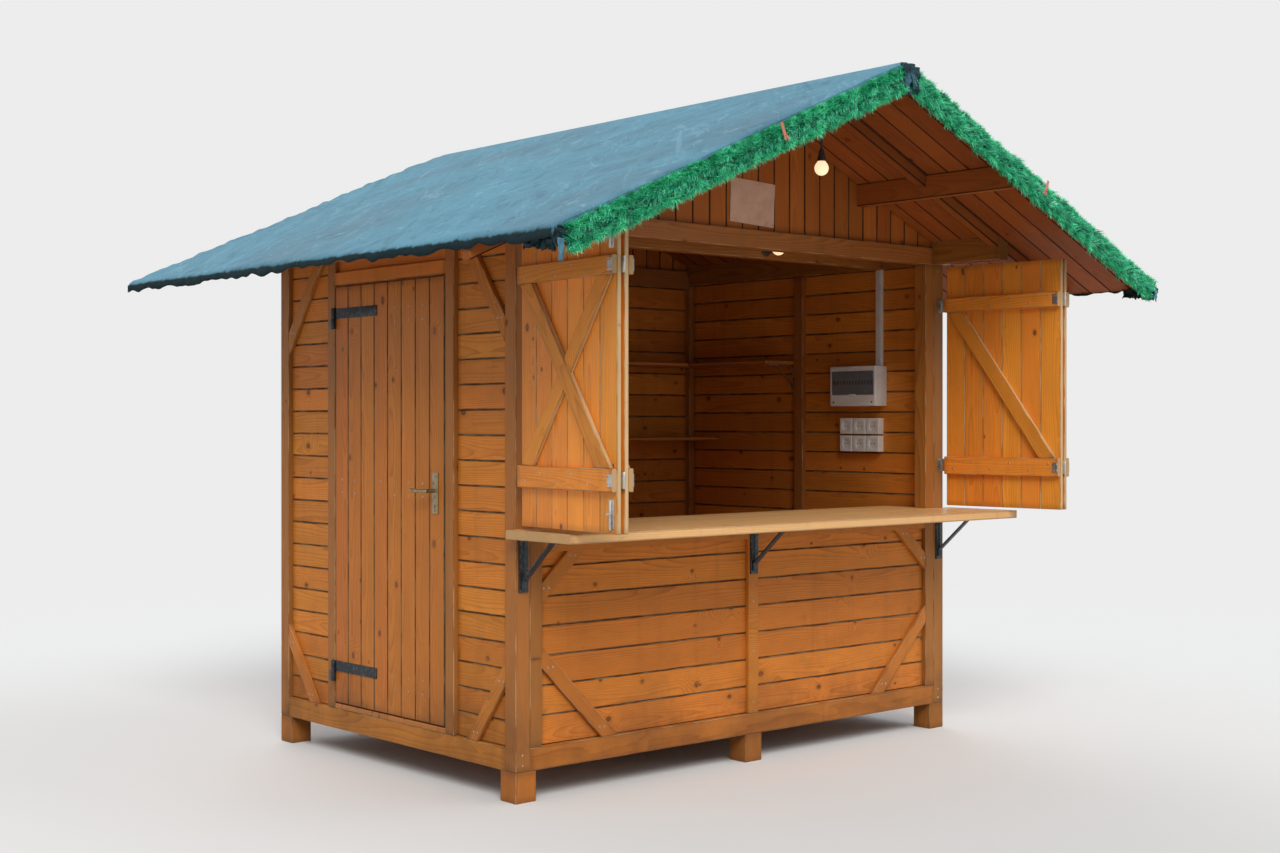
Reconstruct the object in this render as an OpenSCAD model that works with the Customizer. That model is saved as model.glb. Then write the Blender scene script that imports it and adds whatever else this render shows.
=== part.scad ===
// Wooden market hut with a gable roof, a serving counter and folding shutters.
// Millimetres. The front faces -Y, +Z is up and z = 0 is the ground.
// The origin lies on the ground under the middle of the overall outline.

/* [Overall sizes] */
// Width of the walls, across the front
front_w = 2600; // [2300:10:2900]
// Depth of the walls, front to back
wall_d = 1800; // [1600:10:2200]
// Height of the walls, from the feet to the top plates
wall_h = 2200; // [2160:10:2300]
// Height of the ridge above the ground
ridge_h = 2920; // [2820:10:3100]
// Width of the roof, measured level from eave to eave
roof_w = 3600; // [3300:10:3800]
// Length of the roof, from the front verge to the rear verge
roof_l = 3200; // [3000:10:3500]
// How far the roof reaches out in front of the front wall
front_over = 850; // [700:10:950]
// Height of the feet under the walls
foot_h = 120; // [60:5:160]

/* [Wall frame] */
// Side of the square corner posts
post = 70; // [66:1:90]
// Height of the bottom rails
sill_h = 90; // [70:5:120]
// Thickness of the wall boards
board_t = 20; // [15:1:22]
// Thickness of the battens and braces nailed on the outside
batten_t = 20; // [15:1:22]
// Width of the battens, studs and door jambs
batten_w = 60; // [45:1:80]
// Width of the diagonal braces
brace_w = 60; // [40:1:80]
// Level reach of the corner braces, except the upper ones on the side walls
brace_run = 260; // [180:5:300]
// Upright reach of the corner braces, except the upper ones on the side walls
brace_rise = 340; // [200:5:420]
// Level gap between the upper side braces and the door jambs
side_brace_gap = 15; // [5:5:120]
// Upright reach of the upper corner braces on the side walls
side_brace_rise = 450; // [300:5:520]
// Height of the top plates and of the beam over the serving opening
plate_h = 80; // [60:5:100]
// Height of the beam over the rear wall
rear_beam_h = 100; // [80:5:140]
// Side of the square feet
foot_w = 100; // [70:5:120]
// Thickness of the floor boards
floor_t = 22; // [18:1:30]
// Width of the floor joists
joist_w = 50; // [40:5:80]
// Distance of the tie beam from the front wall's outer face
tie_in = 320; // [200:10:700]

/* [Roof] */
// Thickness of the roof boards
roof_board_t = 22; // [18:1:28]
// Thickness of the roofing felt
felt_t = 4; // [2:0.5:6]
// How far the felt is folded down over the roof's edges
felt_fold = 45; // [32:1:70]
// Width of the purlins
purlin_w = 60; // [45:5:80]
// Height of the two side purlins
purlin_h = 90; // [70:5:120]
// Height of the ridge purlin
ridge_purlin_h = 115; // [90:5:150]
// Distance of each side purlin from the ridge, measured level
purlin_x = 730; // [600:10:850]
// Side of the square rafters under the front overhang
fly_rafter = 50; // [40:1:60]
// How far the top plates reach out in front of the front wall
plate_out = 385; // [250:5:550]
// How far the top plates reach out behind the rear wall
plate_rear_out = 460; // [0:10:500]
// Height of the evergreen garland on the front verges, measured across the slope
garland_h = 125; // [80:5:160]
// Thickness of the garland in front of the verge
garland_t = 50; // [30:1:60]
// How far the garland's upper edge lies under the felt's upper edge
garland_drop = 8; // [4:1:30]
// Gap between the two garlands under the ridge
garland_gap = 40; // [20:2:80]

/* [Serving opening and counter] */
// Height of the counter's upper face above the ground
counter_z = 1065; // [950:5:1120]
// Thickness of the counter boards
counter_t = 36; // [28:1:40]
// Depth of the counter outside the wall
counter_out = 400; // [350:10:500]
// Depth of the counter inside the wall
counter_in = 240; // [150:10:300]
// How far the outer counter runs past each corner
counter_past = 50; // [0:5:90]
// Height of the rail under the counter
counter_rail_h = 60; // [40:5:90]
// Level reach of the upper braces of the front wall
front_brace_run = 220; // [150:5:280]
// Upright reach of the upper braces of the front wall
front_brace_rise = 200; // [140:5:260]
// Reach of the lower braces of the front wall, both ways
front_foot_brace = 390; // [250:5:440]

/* [Counter brackets] */
// Width of the flat steel
bracket_w = 45; // [30:1:50]
// Thickness of the flat steel
bracket_t = 6; // [4:0.5:8]
// Length of the arm under the counter
bracket_arm = 300; // [240:5:340]
// Length of the leg on the wall
bracket_leg = 210; // [170:5:260]
// Width of the diagonal strut
bracket_strut_w = 28; // [20:1:30]
// Distance down the leg at which the strut leaves it
bracket_strut_down = 165; // [130:5:180]
// Distance along the arm at which the strut meets it
bracket_strut_out = 185; // [140:5:220]
// Length of the strut's two lapped ends
bracket_lap = 30; // [20:1:40]

/* [Folding shutters] */
// Distance of the shutters' outer hinge pins from the wall's corner
shutter_pin_in = 22; // [15:1:40]
// Gap beside each leaf when the shutters are shut
leaf_gap = 6; // [6:1:10]
// Gap between the counter and the leaves
leaf_gap_low = 15; // [8:1:30]
// Gap between the leaves and the top plates
leaf_gap_top = 14; // [8:1:30]
// Thickness of the leaf boards
leaf_board_t = 20; // [15:1:24]
// Thickness of the ledges and braces on the leaves
ledge_t = 22; // [15:1:28]
// Height of the upper ledge
ledge_top_h = 70; // [50:1:100]
// Height of the lower ledge
ledge_low_h = 85; // [60:1:110]
// Distance from the leaf's top to the upper ledge
ledge_top_in = 150; // [100:5:220]
// Distance from the leaf's foot to the lower ledge
ledge_low_in = 150; // [100:5:220]
// Width of the leaf braces
leaf_brace_w = 65; // [45:1:80]
// Distance of the braces' ends from the leaf's edges
leaf_brace_in = 18; // [0:1:40]
// Gap between two leaves that are folded together
fold_gap = 12; // [10:1:20]
// Angle to which the left pair stands open
left_open = 95; // [90:1:105]
// Angle to which the right pair stands open
right_open = 93; // [90:1:105]
// Radius of the hinge barrels
barrel_r = 6; // [4:0.5:8]
// Length of the hinge flaps on the leaves
strap_l = 70; // [50:1:90]
// Height of the hinge flaps
strap_h = 60; // [40:1:65]
// Width of the barrel bolts' plates
bolt_w = 32; // [24:1:40]
// Length of the barrel bolts' plates
bolt_l = 105; // [80:5:110]

/* [Side door] */
// Width of the doorway
doorway_w = 850; // [700:10:900]
// Gap between the top of the open door and the eave it swings under
door_eave_gap = 6; // [5:1:60]
// Least height of the wall boards over the doorway
door_head_h = 20; // [10:5:60]
// Gap round the door leaf
door_gap = 6; // [5:1:10]
// Thickness of the door boards
door_board_t = 20; // [15:1:24]
// Thickness of the door's ledges
door_ledge_t = 22; // [15:1:25]
// Height of the door's ledges
door_ledge_h = 100; // [70:5:140]
// Distance of the upper and lower ledges' middles from the door's ends
door_ledge_end = 140; // [100:5:200]
// Height of the door handle above the door's foot
handle_z = 960; // [850:10:1050]
// Radius of the door hinge pins
pin_r = 5; // [4:0.5:6]
// Height of one door hinge
hinge_h = 90; // [70:5:120]
// Length of the hinge straps on the door
hinge_strap_l = 340; // [250:10:450]

/* [Fittings inside] */
// Height of the lower shelf above the ground
shelf_low_z = 1400; // [1250:10:1500]
// Height of the upper shelf above the ground
shelf_high_z = 1800; // [1650:10:1950]
// Depth of the shelves
shelf_d = 240; // [180:10:320]
// Thickness of the shelves
shelf_t = 20; // [16:1:28]
// Length of the shelf brackets' arms
shelf_arm = 190; // [140:5:230]
// Length of the shelf brackets' legs
shelf_leg = 160; // [120:5:180]
// Width of the shelf brackets' flat steel
shelf_bracket_w = 25; // [20:1:30]
// Width of the switch box
box_w = 300; // [250:10:340]
// Height of the switch box
box_h = 200; // [160:10:240]
// Depth of the switch box
box_d = 90; // [70:5:110]
// Side of one square socket
socket_w = 80; // [70:1:90]
// Radius of a lamp bulb
bulb_r = 30; // [25:1:35]
// Length of the stem that carries the lamp in front of the gable
lamp_stem = 155; // [60:5:200]
// Distance of that lamp in front of the front wall
gable_lamp_out = 400; // [120:10:550]
// Distance of the left lamp on the tie beam from the middle of the hut
left_lamp_x = 700; // [300:10:1000]
// Distance of the right lamp on the tie beam from the middle of the hut
right_lamp_x = 400; // [300:10:1000]
// Distance of the switch box from the front wall's outer face, to its middle
box_in = 470; // [400:10:500]
// Height of the switch box's foot above the ground
box_z = 1560; // [1500:10:1700]

/* [Hidden] */
$fn = 32;

// Places along X and Z
x_wall = front_w / 2;
x_eave = roof_w / 2;
x_in = x_wall - post;
z_sill = foot_h + sill_h;
z_floor = z_sill + floor_t;
z_top = foot_h + wall_h;
z_plate = z_top - plate_h;
z_counter = counter_z - counter_t;

// Places along Y: the outline runs from the garland's face to the rear verge
y_verge = garland_t / 2 - roof_l / 2;
y_rear_verge = y_verge + roof_l;
y_front = y_verge + front_over;
y_rear = y_front + wall_d;
y_mid = (y_front + y_rear) / 2;
y_tie = y_front + tie_in;

// Depths into a wall, from its outer face
board_in = batten_t + board_t;
x_shelf = x_wall - board_in;
y_shelf = y_rear - board_in;

// Roof pitch, from the ridge height, the wall height and the roof's thickness
roof_rise = ridge_h - z_top;
roof_t = roof_board_t + felt_t;
pitch = acos(roof_t / norm([x_wall, roof_rise])) - atan2(x_wall, roof_rise);
board_up = roof_board_t / cos(pitch);
felt_up = felt_t / cos(pitch);

// Height of the roof boards' underside over a place x, and of what carries them
roof_seat = 0.05;
function soffit(x) = z_top + (x_wall - abs(x)) * tan(pitch);
function seat(x) = soffit(x) - roof_seat;

// Colours
pine = [0.72, 0.42, 0.16];
pine_dark = [0.60, 0.33, 0.12];
pine_pale = [0.83, 0.58, 0.30];
soffit_brown = [0.38, 0.17, 0.08];
felt_blue = [0.33, 0.46, 0.50];
fir_green = [0.05, 0.45, 0.22];
steel_black = [0.10, 0.12, 0.14];
steel_grey = [0.55, 0.56, 0.58];
plastic_white = [0.90, 0.90, 0.88];
lamp_glow = [1.0, 0.86, 0.60];

// A square-edged timber between two opposite corners
module timber(low, high) {
  translate(low) cube(high - low);
}

// Places what follows on a wall: X runs to the right as seen from outside,
// Y runs inward from the outer face and Z is up
module on_front() {
  translate([0, y_front, 0]) children();
}
module on_rear() {
  translate([0, y_rear, 0]) rotate([0, 0, 180]) children();
}
module on_left() {
  translate([-x_wall, y_mid, 0]) rotate([0, 0, -90]) children();
}
module on_right() {
  translate([x_wall, y_mid, 0]) rotate([0, 0, 90]) children();
}

// A flat shape drawn in X and Z, with its thickness running along +Y
module upright_plate(thickness, start = 0) {
  translate([0, start + thickness, 0]) rotate([90, 0, 0]) linear_extrude(thickness) children();
}

// A diagonal brace across a corner; dir says which way the corner opens
module corner_brace(corner, dir, run, rise) {
  slant = atan2(rise, run);
  cut_run = brace_w / sin(slant);
  cut_rise = brace_w / cos(slant);
  shape = [[0, rise], [0, rise - cut_rise], [run - cut_run, 0], [run, 0]];
  translate([corner[0], 0, corner[1]])
    upright_plate(batten_t)
      polygon([for (p = shape) [p[0] * dir[0], p[1] * dir[1]]]);
}

// Feet: three under the front, four under the rear
rear_batten_u = front_w / 6;
module foot(x, y) {
  timber([x - foot_w / 2, y - foot_w / 2, 0], [x + foot_w / 2, y + foot_w / 2, foot_h]);
}
module feet() {
  foot_in = foot_w / 2;
  color(pine_dark) {
    for (x = [-x_wall + foot_in, 0, x_wall - foot_in]) foot(x, y_front + foot_in);
    for (x = [-x_wall + foot_in, -rear_batten_u, rear_batten_u, x_wall - foot_in])
      foot(x, y_rear - foot_in);
  }
}

// Bottom rails between the corner posts
module side_sills() {
  color(pine_dark)
    for (side = [-1, 1])
      timber([side > 0 ? x_in : -x_wall, y_front + post, foot_h],
             [side > 0 ? x_wall : -x_in, y_rear - post, z_sill]);
}
module end_sills() {
  joist_y = [y_front + post, y_rear - post];
  color(pine_dark) {
    for (y = [y_front, y_rear - post]) timber([-x_in, y, foot_h], [x_in, y + post, z_sill]);
    for (x = [-x_in / 3, x_in / 3])
      timber([x - joist_w / 2, joist_y[0], foot_h], [x + joist_w / 2, joist_y[1], z_sill]);
  }
}

// Floor, cut round the corner posts, with a threshold in the doorway
module floor() {
  color(pine)
    difference() {
      union() {
        timber([-x_wall + board_in, y_front + board_in, z_sill],
               [x_wall - board_in, y_rear - board_in, z_floor]);
        on_left() timber([-doorway_w / 2, 0, z_sill], [doorway_w / 2, post, z_floor]);
      }
      corner_post_blanks();
      front_jamb_blanks();
      door_jamb_blanks();
    }
}

module corner_post_blanks() {
  for (x = [-x_wall, x_in], y = [y_front, y_rear - post])
    timber([x, y, foot_h], [x + post, y + post, z_plate]);
}
module corner_posts() {
  color(pine_dark) corner_post_blanks();
}

// Posts beside the serving opening
x_jamb = x_in - batten_w;
module front_jamb_blanks() {
  on_front()
    for (x = [-x_in, x_jamb]) timber([x, 0, z_sill], [x + batten_w, post, z_plate]);
}
module front_jamb_posts() {
  color(pine_dark) front_jamb_blanks();
}

// Boards of a wall between two places, from the sill upward
module wall_boards(from_u, to_u, top, low = z_sill) {
  timber([from_u, batten_t, low], [to_u, board_in, top]);
}
module front_lower_wall() {
  color(pine) on_front() wall_boards(-x_jamb, x_jamb, z_counter);
}
module front_trim() {
  rail_z = z_counter - counter_rail_h;
  color(pine_dark) on_front() {
    timber([-x_jamb, 0, rail_z], [x_jamb, batten_t, z_counter]);
    timber([-batten_w / 2, 0, z_sill], [batten_w / 2, batten_t, rail_z]);
    for (side = [-1, 1]) {
      corner_brace([side * x_jamb, rail_z], [-side, -1], front_brace_run, front_brace_rise);
      corner_brace([side * x_jamb, z_sill], [-side, 1], front_foot_brace, front_foot_brace);
    }
  }
}

// Rear wall
z_rear_beam = z_top - rear_beam_h;
module rear_wall() {
  color(pine) on_rear() wall_boards(-x_in, x_in, z_rear_beam);
}
module rear_trim() {
  color(pine_dark) on_rear()
    for (side = [-1, 1]) {
      u = side * rear_batten_u;
      timber([u - batten_w / 2, 0, z_sill], [u + batten_w / 2, batten_t, z_rear_beam]);
      corner_brace([side * x_in, z_rear_beam], [-side, -1], brace_run, brace_rise);
      corner_brace([side * x_in, z_sill], [-side, 1], brace_run, brace_rise);
    }
}

// Side walls
u_side = wall_d / 2 - post;
u_jamb = doorway_w / 2 + batten_w;
module right_wall() {
  color(pine) on_right() wall_boards(-u_side, u_side, z_plate);
}
module side_corner_braces() {
  upper_run = u_side - u_jamb - side_brace_gap;
  for (side = [-1, 1]) {
    corner_brace([side * u_side, z_plate], [-side, -1], upper_run, side_brace_rise);
    corner_brace([side * u_side, z_sill], [-side, 1], brace_run, brace_rise);
  }
}
module right_trim() {
  color(pine_dark) on_right() {
    timber([-batten_w / 2, 0, z_sill], [batten_w / 2, batten_t, z_plate]);
    side_corner_braces();
  }
}
module left_wall_front() {
  color(pine) on_left() wall_boards(u_jamb, u_side, z_plate);
}
module left_wall_rear() {
  color(pine) on_left() wall_boards(-u_side, -u_jamb, z_plate);
}
z_door = z_floor + door_gap;
// The door's top lies under the eave's edge and leaves room for the lintel under the plate
z_eave_edge = soffit(x_eave) + board_up + felt_up - felt_fold;
z_head = z_plate - door_head_h - batten_w;
z_door_top = floor(min(z_eave_edge - door_eave_gap, z_head - door_gap));
z_lintel = z_door_top + door_gap;
module left_wall_head() {
  color(pine) on_left() {
    wall_boards(-doorway_w / 2, doorway_w / 2, z_plate, z_lintel + batten_w);
    timber([-doorway_w / 2, 0, z_lintel], [doorway_w / 2, board_in, z_lintel + batten_w]);
  }
}
module door_jamb_blanks() {
  on_left()
    for (u = [-u_jamb, doorway_w / 2])
      timber([u, 0, z_sill], [u + batten_w, post, z_plate]);
}
module door_jambs() {
  color(pine_dark) door_jamb_blanks();
}
module left_trim() {
  color(pine_dark) on_left() side_corner_braces();
}

// Studs that show inside, against the boards; the rear one goes on up the gable
module stud(low, high) {
  timber([-batten_w / 2, board_in, low], [batten_w / 2, post, high]);
}
module wall_studs() {
  color(pine_dark) {
    on_rear() stud(z_floor, z_rear_beam);
    on_rear() stud(z_top, seat(0) - ridge_purlin_h - roof_seat);
    on_right() stud(z_floor, z_plate);
    on_front() stud(z_floor, z_counter);
  }
}
module end_beams() {
  color(pine_dark) {
    on_front() timber([-x_in, 0, z_plate], [x_in, post, z_top]);
    on_rear() timber([-x_in, 0, z_rear_beam], [x_in, post, z_top]);
  }
}
module tie_beam() {
  color(pine_dark) timber([-x_in, y_tie, z_plate], [x_in, y_tie + batten_w, z_top]);
}

// A timber along Y with its outline drawn in X and Z
module along_roof(from_y, to_y) {
  translate([0, to_y, 0]) rotate([90, 0, 0]) linear_extrude(to_y - from_y) children();
}

// Top plates on the side walls, bevelled to the roof's pitch
module top_plates() {
  color(pine_dark)
    for (side = [-1, 1])
      along_roof(y_front - plate_out, y_rear + plate_rear_out)
        polygon([[side * x_wall, z_plate], [side * x_in, z_plate],
                 [side * x_in, seat(x_in)], [side * x_wall, seat(x_wall)]]);
}

// Outlines of the purlins, under the roof boards; rise raises the top where they cut
module ridge_purlin_outline(rise = 0) {
  half = purlin_w / 2;
  low = seat(0) - ridge_purlin_h;
  polygon([[-half, low], [half, low], [half, seat(half) + rise], [0, seat(0) + rise],
           [-half, seat(half) + rise]]);
}
module side_purlin_outline(side, rise = 0) {
  inner = purlin_x - purlin_w / 2;
  outer = purlin_x + purlin_w / 2;
  low = seat(purlin_x) - purlin_h;
  shape = [[inner, low], [outer, low], [outer, seat(outer) + rise], [inner, seat(inner) + rise]];
  polygon([for (p = shape) [side * p[0], p[1]]]);
}
module ridge_purlin() {
  color(soffit_brown)
    along_roof(y_verge + felt_t, y_rear_verge - felt_t) ridge_purlin_outline();
}
module side_purlins() {
  color(soffit_brown)
    for (side = [-1, 1])
      along_roof(y_verge + felt_t, y_rear_verge - felt_t) side_purlin_outline(side);
}

// Gable boards, cut round the purlins
module gable_boards() {
  upright_plate(board_t, batten_t)
    difference() {
      polygon([[-x_in, z_top], [x_in, z_top], [x_in, seat(x_in)], [0, seat(0)],
               [-x_in, seat(x_in)]]);
      ridge_purlin_outline(board_t);
      side_purlin_outline(-1, board_t);
      side_purlin_outline(1, board_t);
    }
}
module front_gable() {
  color(pine_dark) on_front() gable_boards();
}
module rear_gable() {
  color(pine_dark) on_rear() gable_boards();
}

// Rafters under the front overhang, fitted between the purlins and the plates, and from
// the plates on to the eaves
module fly_rafter_piece(from_x, to_x, side) {
  drop = fly_rafter / cos(pitch);
  shape = [[from_x, seat(from_x)], [from_x, seat(from_x) - drop],
           [to_x, seat(to_x) - drop], [to_x, seat(to_x)]];
  along_roof(y_front - plate_out, y_front - plate_out + fly_rafter)
    polygon([for (p = shape) [side * p[0], p[1]]]);
}
module fly_rafters() {
  color(soffit_brown)
    for (side = [-1, 1]) {
      fly_rafter_piece(purlin_w / 2, purlin_x - purlin_w / 2, side);
      fly_rafter_piece(purlin_x + purlin_w / 2, x_in, side);
      fly_rafter_piece(x_wall, x_eave - 2 * felt_t, side);
    }
}

// Roof boards of one slope, cut plumb at the ridge and the eave
module roof_boards(side) {
  edge = x_eave - felt_t;
  shape = [[0, soffit(0)], [edge, soffit(edge)],
           [edge, soffit(edge) + board_up], [0, soffit(0) + board_up]];
  color(soffit_brown)
    along_roof(y_verge + felt_t, y_rear_verge - felt_t)
      polygon([for (p = shape) [side * p[0], p[1]]]);
}
module left_roof_boards() {
  roof_boards(-1);
}
module right_roof_boards() {
  roof_boards(1);
}

// Roofing felt over both slopes, folded down over the eaves and the verges
module felt_section(drop) {
  edge = x_eave - felt_t;
  top = [for (x = [-x_eave, 0, x_eave]) [x, soffit(x) + board_up + felt_up]];
  low_edge = soffit(x_eave) + board_up + felt_up - drop;
  under = [for (x = [edge, 0, -edge]) [x, soffit(x) + board_up]];
  polygon(concat(top, [[x_eave, low_edge], [edge, low_edge]], under,
                 [[-edge, low_edge], [-x_eave, low_edge]]));
}
module felt_verge() {
  top = [for (x = [-x_eave, 0, x_eave]) [x, soffit(x) + board_up + felt_up]];
  low = [for (x = [x_eave, 0, -x_eave]) [x, soffit(x) + board_up + felt_up - felt_fold]];
  polygon(concat(top, low));
}
module roof_felt() {
  color(felt_blue) {
    along_roof(y_verge + felt_t, y_rear_verge - felt_t) felt_section(felt_fold);
    along_roof(y_verge, y_verge + felt_t) felt_verge();
    along_roof(y_rear_verge - felt_t, y_rear_verge) felt_verge();
  }
}

// Evergreen garland: a band with a flat back and a round front, nailed to each front verge
module garland_section() {
  for (w = [garland_t, garland_h - garland_t])
    translate([0, -w])
      intersection() {
        circle(r = garland_t);
        translate([-garland_t, -garland_t]) square([garland_t, 2 * garland_t]);
      }
  translate([-garland_t, garland_t - garland_h]) square([garland_t, garland_h - 2 * garland_t]);
}
module garland() {
  apex = soffit(0) + board_up + felt_up;
  length = x_eave / cos(pitch);
  color(fir_green)
    for (side = [0, 1])
      mirror([side, 0, 0])
        intersection() {
          translate([0, y_verge, apex])
            rotate([0, pitch, 0])
              translate([-garland_h, 0, -garland_drop])
                rotate([90, 0, 90]) linear_extrude(length + garland_h) garland_section();
          timber([garland_gap / 2, y_verge - 2 * garland_t, 0],
                 [x_eave, y_verge + garland_t, ridge_h]);
        }
}

// Counter boards outside and inside the serving opening
module outer_counter() {
  edge = x_wall + counter_past;
  color(pine_pale) on_front() timber([-edge, -counter_out, z_counter], [edge, 0, counter_z]);
}
module inner_counter() {
  color(pine_pale) on_front() {
    timber([-x_jamb, 0, z_counter], [x_jamb, post, counter_z]);
    timber([-x_in, post, z_counter], [x_in, post + counter_in, counter_z]);
  }
}

// A stretch of flat bar seen from its edge, with round ends
module bar_edge(from, to, thick) {
  run = to - from;
  translate(from) rotate(atan2(run[1], run[0])) {
    translate([0, -thick / 2]) square([norm(run), thick]);
    circle(d = thick);
    translate([norm(run), 0]) circle(d = thick);
  }
}
// Bracket with its leg on a wall and its arm under a board, along -Y from the origin.
// The arm has a round end; the strut is one flat bar bent twice, lapped on both.
module steel_bracket(arm, leg, width, thick, strut_w, down, out, lap) {
  strut_in = 1.5 * thick;
  bends = [[strut_in, -down - lap], [strut_in, -down], [out, -strut_in], [out + lap, -strut_in]];
  translate([0, 0, -thick]) linear_extrude(thick) {
    translate([-width / 2, width / 2 - arm]) square([width, arm - width / 2]);
    translate([0, width / 2 - arm]) circle(r = width / 2);
  }
  timber([-width / 2, -thick, -leg], [width / 2, 0, 0]);
  translate([strut_w / 2, 0, 0]) rotate([90, 0, -90]) linear_extrude(strut_w)
    for (i = [0:2]) bar_edge(bends[i], bends[i + 1], thick);
}
module counter_brackets() {
  color(steel_black) on_front()
    for (x = [-x_wall + post / 2, 0, x_wall - post / 2])
      translate([x, 0, z_counter])
        steel_bracket(bracket_arm, bracket_leg, bracket_w, bracket_t, bracket_strut_w,
                      bracket_strut_down, bracket_strut_out, bracket_lap);
}

// Two shelves on the rear wall, cut round the posts and the stud; the upper one turns
// along the right wall as far as the stud there
module shelves() {
  color(pine)
    difference() {
      union() {
        for (z = [shelf_low_z, shelf_high_z])
          timber([-x_shelf, y_shelf - shelf_d, z - shelf_t], [x_shelf, y_shelf, z]);
        timber([x_shelf - shelf_d, y_mid + batten_w / 2, shelf_high_z - shelf_t],
               [x_shelf, y_shelf - shelf_d, shelf_high_z]);
      }
      corner_post_blanks();
      on_rear() stud(z_floor, z_rear_beam);
    }
}
// Steel brackets under the shelves: two a shelf, and one under the end of the short arm
shelf_bracket_t = 3;
shelf_bracket_x = x_shelf / 3;
module shelf_bracket() {
  steel_bracket(shelf_arm, shelf_leg, shelf_bracket_w, shelf_bracket_t, 0.6 * shelf_bracket_w,
                0.75 * shelf_leg, 0.7 * shelf_arm, 5 * shelf_bracket_t);
}
module shelf_brackets() {
  color(steel_grey) {
    for (z = [shelf_low_z, shelf_high_z], x = [-shelf_bracket_x, shelf_bracket_x])
      translate([x, y_shelf, z - shelf_t]) shelf_bracket();
    translate([x_shelf, y_mid + batten_w / 2 + shelf_bracket_w, shelf_high_z - shelf_t])
      rotate([0, 0, -90]) shelf_bracket();
  }
}

// One shutter leaf with its hinge edge at X = 0, its outside at Y = 0 and its foot at Z = 0.
// brace_from_hinge = 1 runs the brace from the hinge side's top to the free side's foot.
leaf_w = (x_wall - shutter_pin_in - 3 * leaf_gap) / 2;
leaf_z = counter_z + leaf_gap_low;
leaf_h = z_plate - leaf_gap_top - leaf_z;
leaf_t = leaf_board_t + ledge_t;
ledge_low_z = ledge_low_in + ledge_low_h / 2;
ledge_top_z = leaf_h - ledge_top_in - ledge_top_h / 2;
module leaf_brace(flip) {
  far = leaf_w - leaf_brace_in;
  low = ledge_low_z + ledge_low_h / 2;
  high = ledge_top_z - ledge_top_h / 2;
  cut = leaf_brace_w / sin(atan2(high - low, far - leaf_brace_in));
  shape = [[leaf_brace_in, high], [leaf_brace_in + cut, high], [far, low], [far - cut, low]];
  upright_plate(ledge_t, leaf_board_t)
    polygon([for (p = shape) [flip ? leaf_w - p[0] : p[0], p[1]]]);
}
module shutter_leaf(braces) {
  timber([0, 0, 0], [leaf_w, leaf_board_t, leaf_h]);
  timber([0, leaf_board_t, ledge_low_z - ledge_low_h / 2],
         [leaf_w, leaf_t, ledge_low_z + ledge_low_h / 2]);
  timber([0, leaf_board_t, ledge_top_z - ledge_top_h / 2],
         [leaf_w, leaf_t, ledge_top_z + ledge_top_h / 2]);
  for (flip = braces) leaf_brace(flip);
}

// Places a shutter pair; the origin is the pin of its outer hinge
y_shutter_pin = y_front - leaf_t - leaf_gap;
module shutter_place(side, angle) {
  mirror([side > 0 ? 1 : 0, 0, 0])
    translate([-x_wall + shutter_pin_in, y_shutter_pin, leaf_z])
      rotate([0, 0, -angle]) children();
}
module folded_pair(inner_braces, outer_braces) {
  translate([leaf_gap, 0, 0]) {
    shutter_leaf(inner_braces);
    translate([0, -fold_gap, 0]) mirror([0, 1, 0]) shutter_leaf(outer_braces);
  }
}
module left_shutters() {
  color(pine) shutter_place(-1, left_open) folded_pair([false], [false, true]);
}
module right_shutters() {
  color(pine) shutter_place(1, right_open) folded_pair([false], [false]);
}

// Hinges and bolts of the folding shutters
strap_t = 2.5;
module fold_hinge() {
  translate([leaf_gap + leaf_w, -fold_gap / 2, -strap_h / 2]) linear_extrude(strap_h) {
    translate([barrel_r, 0]) circle(r = barrel_r);
    for (side = [-1, 1])
      translate([-strap_l, side > 0 ? fold_gap / 2 - strap_t : -fold_gap / 2])
        square([strap_l + barrel_r / 2, strap_t]);
  }
}
module leaf_strap() {
  translate([0, 0, -strap_h / 2]) linear_extrude(strap_h) {
    circle(r = barrel_r);
    translate([0, -strap_t]) square([strap_l, strap_t]);
  }
}
module post_strap() {
  reach = y_front - y_shutter_pin;
  start = -0.8 * barrel_r;
  translate([0, 0, -strap_h / 2]) linear_extrude(strap_h) {
    translate([start, 0]) square([strap_t, reach]);
    translate([start, reach - strap_t]) square([post - 2 * shutter_pin_in, strap_t]);
  }
}
// Barrel bolt with its plate on Y = 0, its rod along Z and its knob outward
rod_r = 5;
module bolt() {
  timber([-bolt_w / 2, 0, 0], [bolt_w / 2, strap_t, bolt_l]);
  translate([0, strap_t + 0.8 * rod_r, -rod_r]) cylinder(r = rod_r, h = bolt_l);
  translate([0, strap_t, bolt_l / 2]) rotate([-90, 0, 0]) cylinder(r = rod_r, h = 4 * rod_r);
}
module shutter_hinges() {
  bolt_x = leaf_gap + leaf_w - bolt_w;
  bolt_z = 4 * rod_r;
  color(steel_grey)
    for (side = [-1, 1]) {
      angle = side < 0 ? left_open : right_open;
      for (z = [ledge_low_z, ledge_top_z]) {
        shutter_place(side, angle) translate([0, 0, z]) {
          fold_hinge();
          leaf_strap();
        }
        shutter_place(side, 0) translate([0, 0, z]) post_strap();
      }
      shutter_place(side, angle) translate([bolt_x, -fold_gap - leaf_board_t, 0]) {
        translate([0, 0, bolt_z]) mirror([0, 1, 0]) bolt();
        translate([0, 0, leaf_h - bolt_z]) mirror([0, 0, 1]) mirror([0, 1, 0]) bolt();
      }
    }
}

// Bulb in a tapered holder, hanging down from the origin
holder_r = 20;
holder_h = 50;
stem_r = 5;
module bulb() {
  translate([0, 0, -holder_h]) cylinder(r1 = holder_r, r2 = 2 * stem_r, h = holder_h);
  translate([0, 0, -holder_h - bulb_r]) {
    cylinder(r1 = bulb_r, r2 = holder_r - stem_r, h = bulb_r);
    sphere(r = bulb_r);
  }
}
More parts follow.
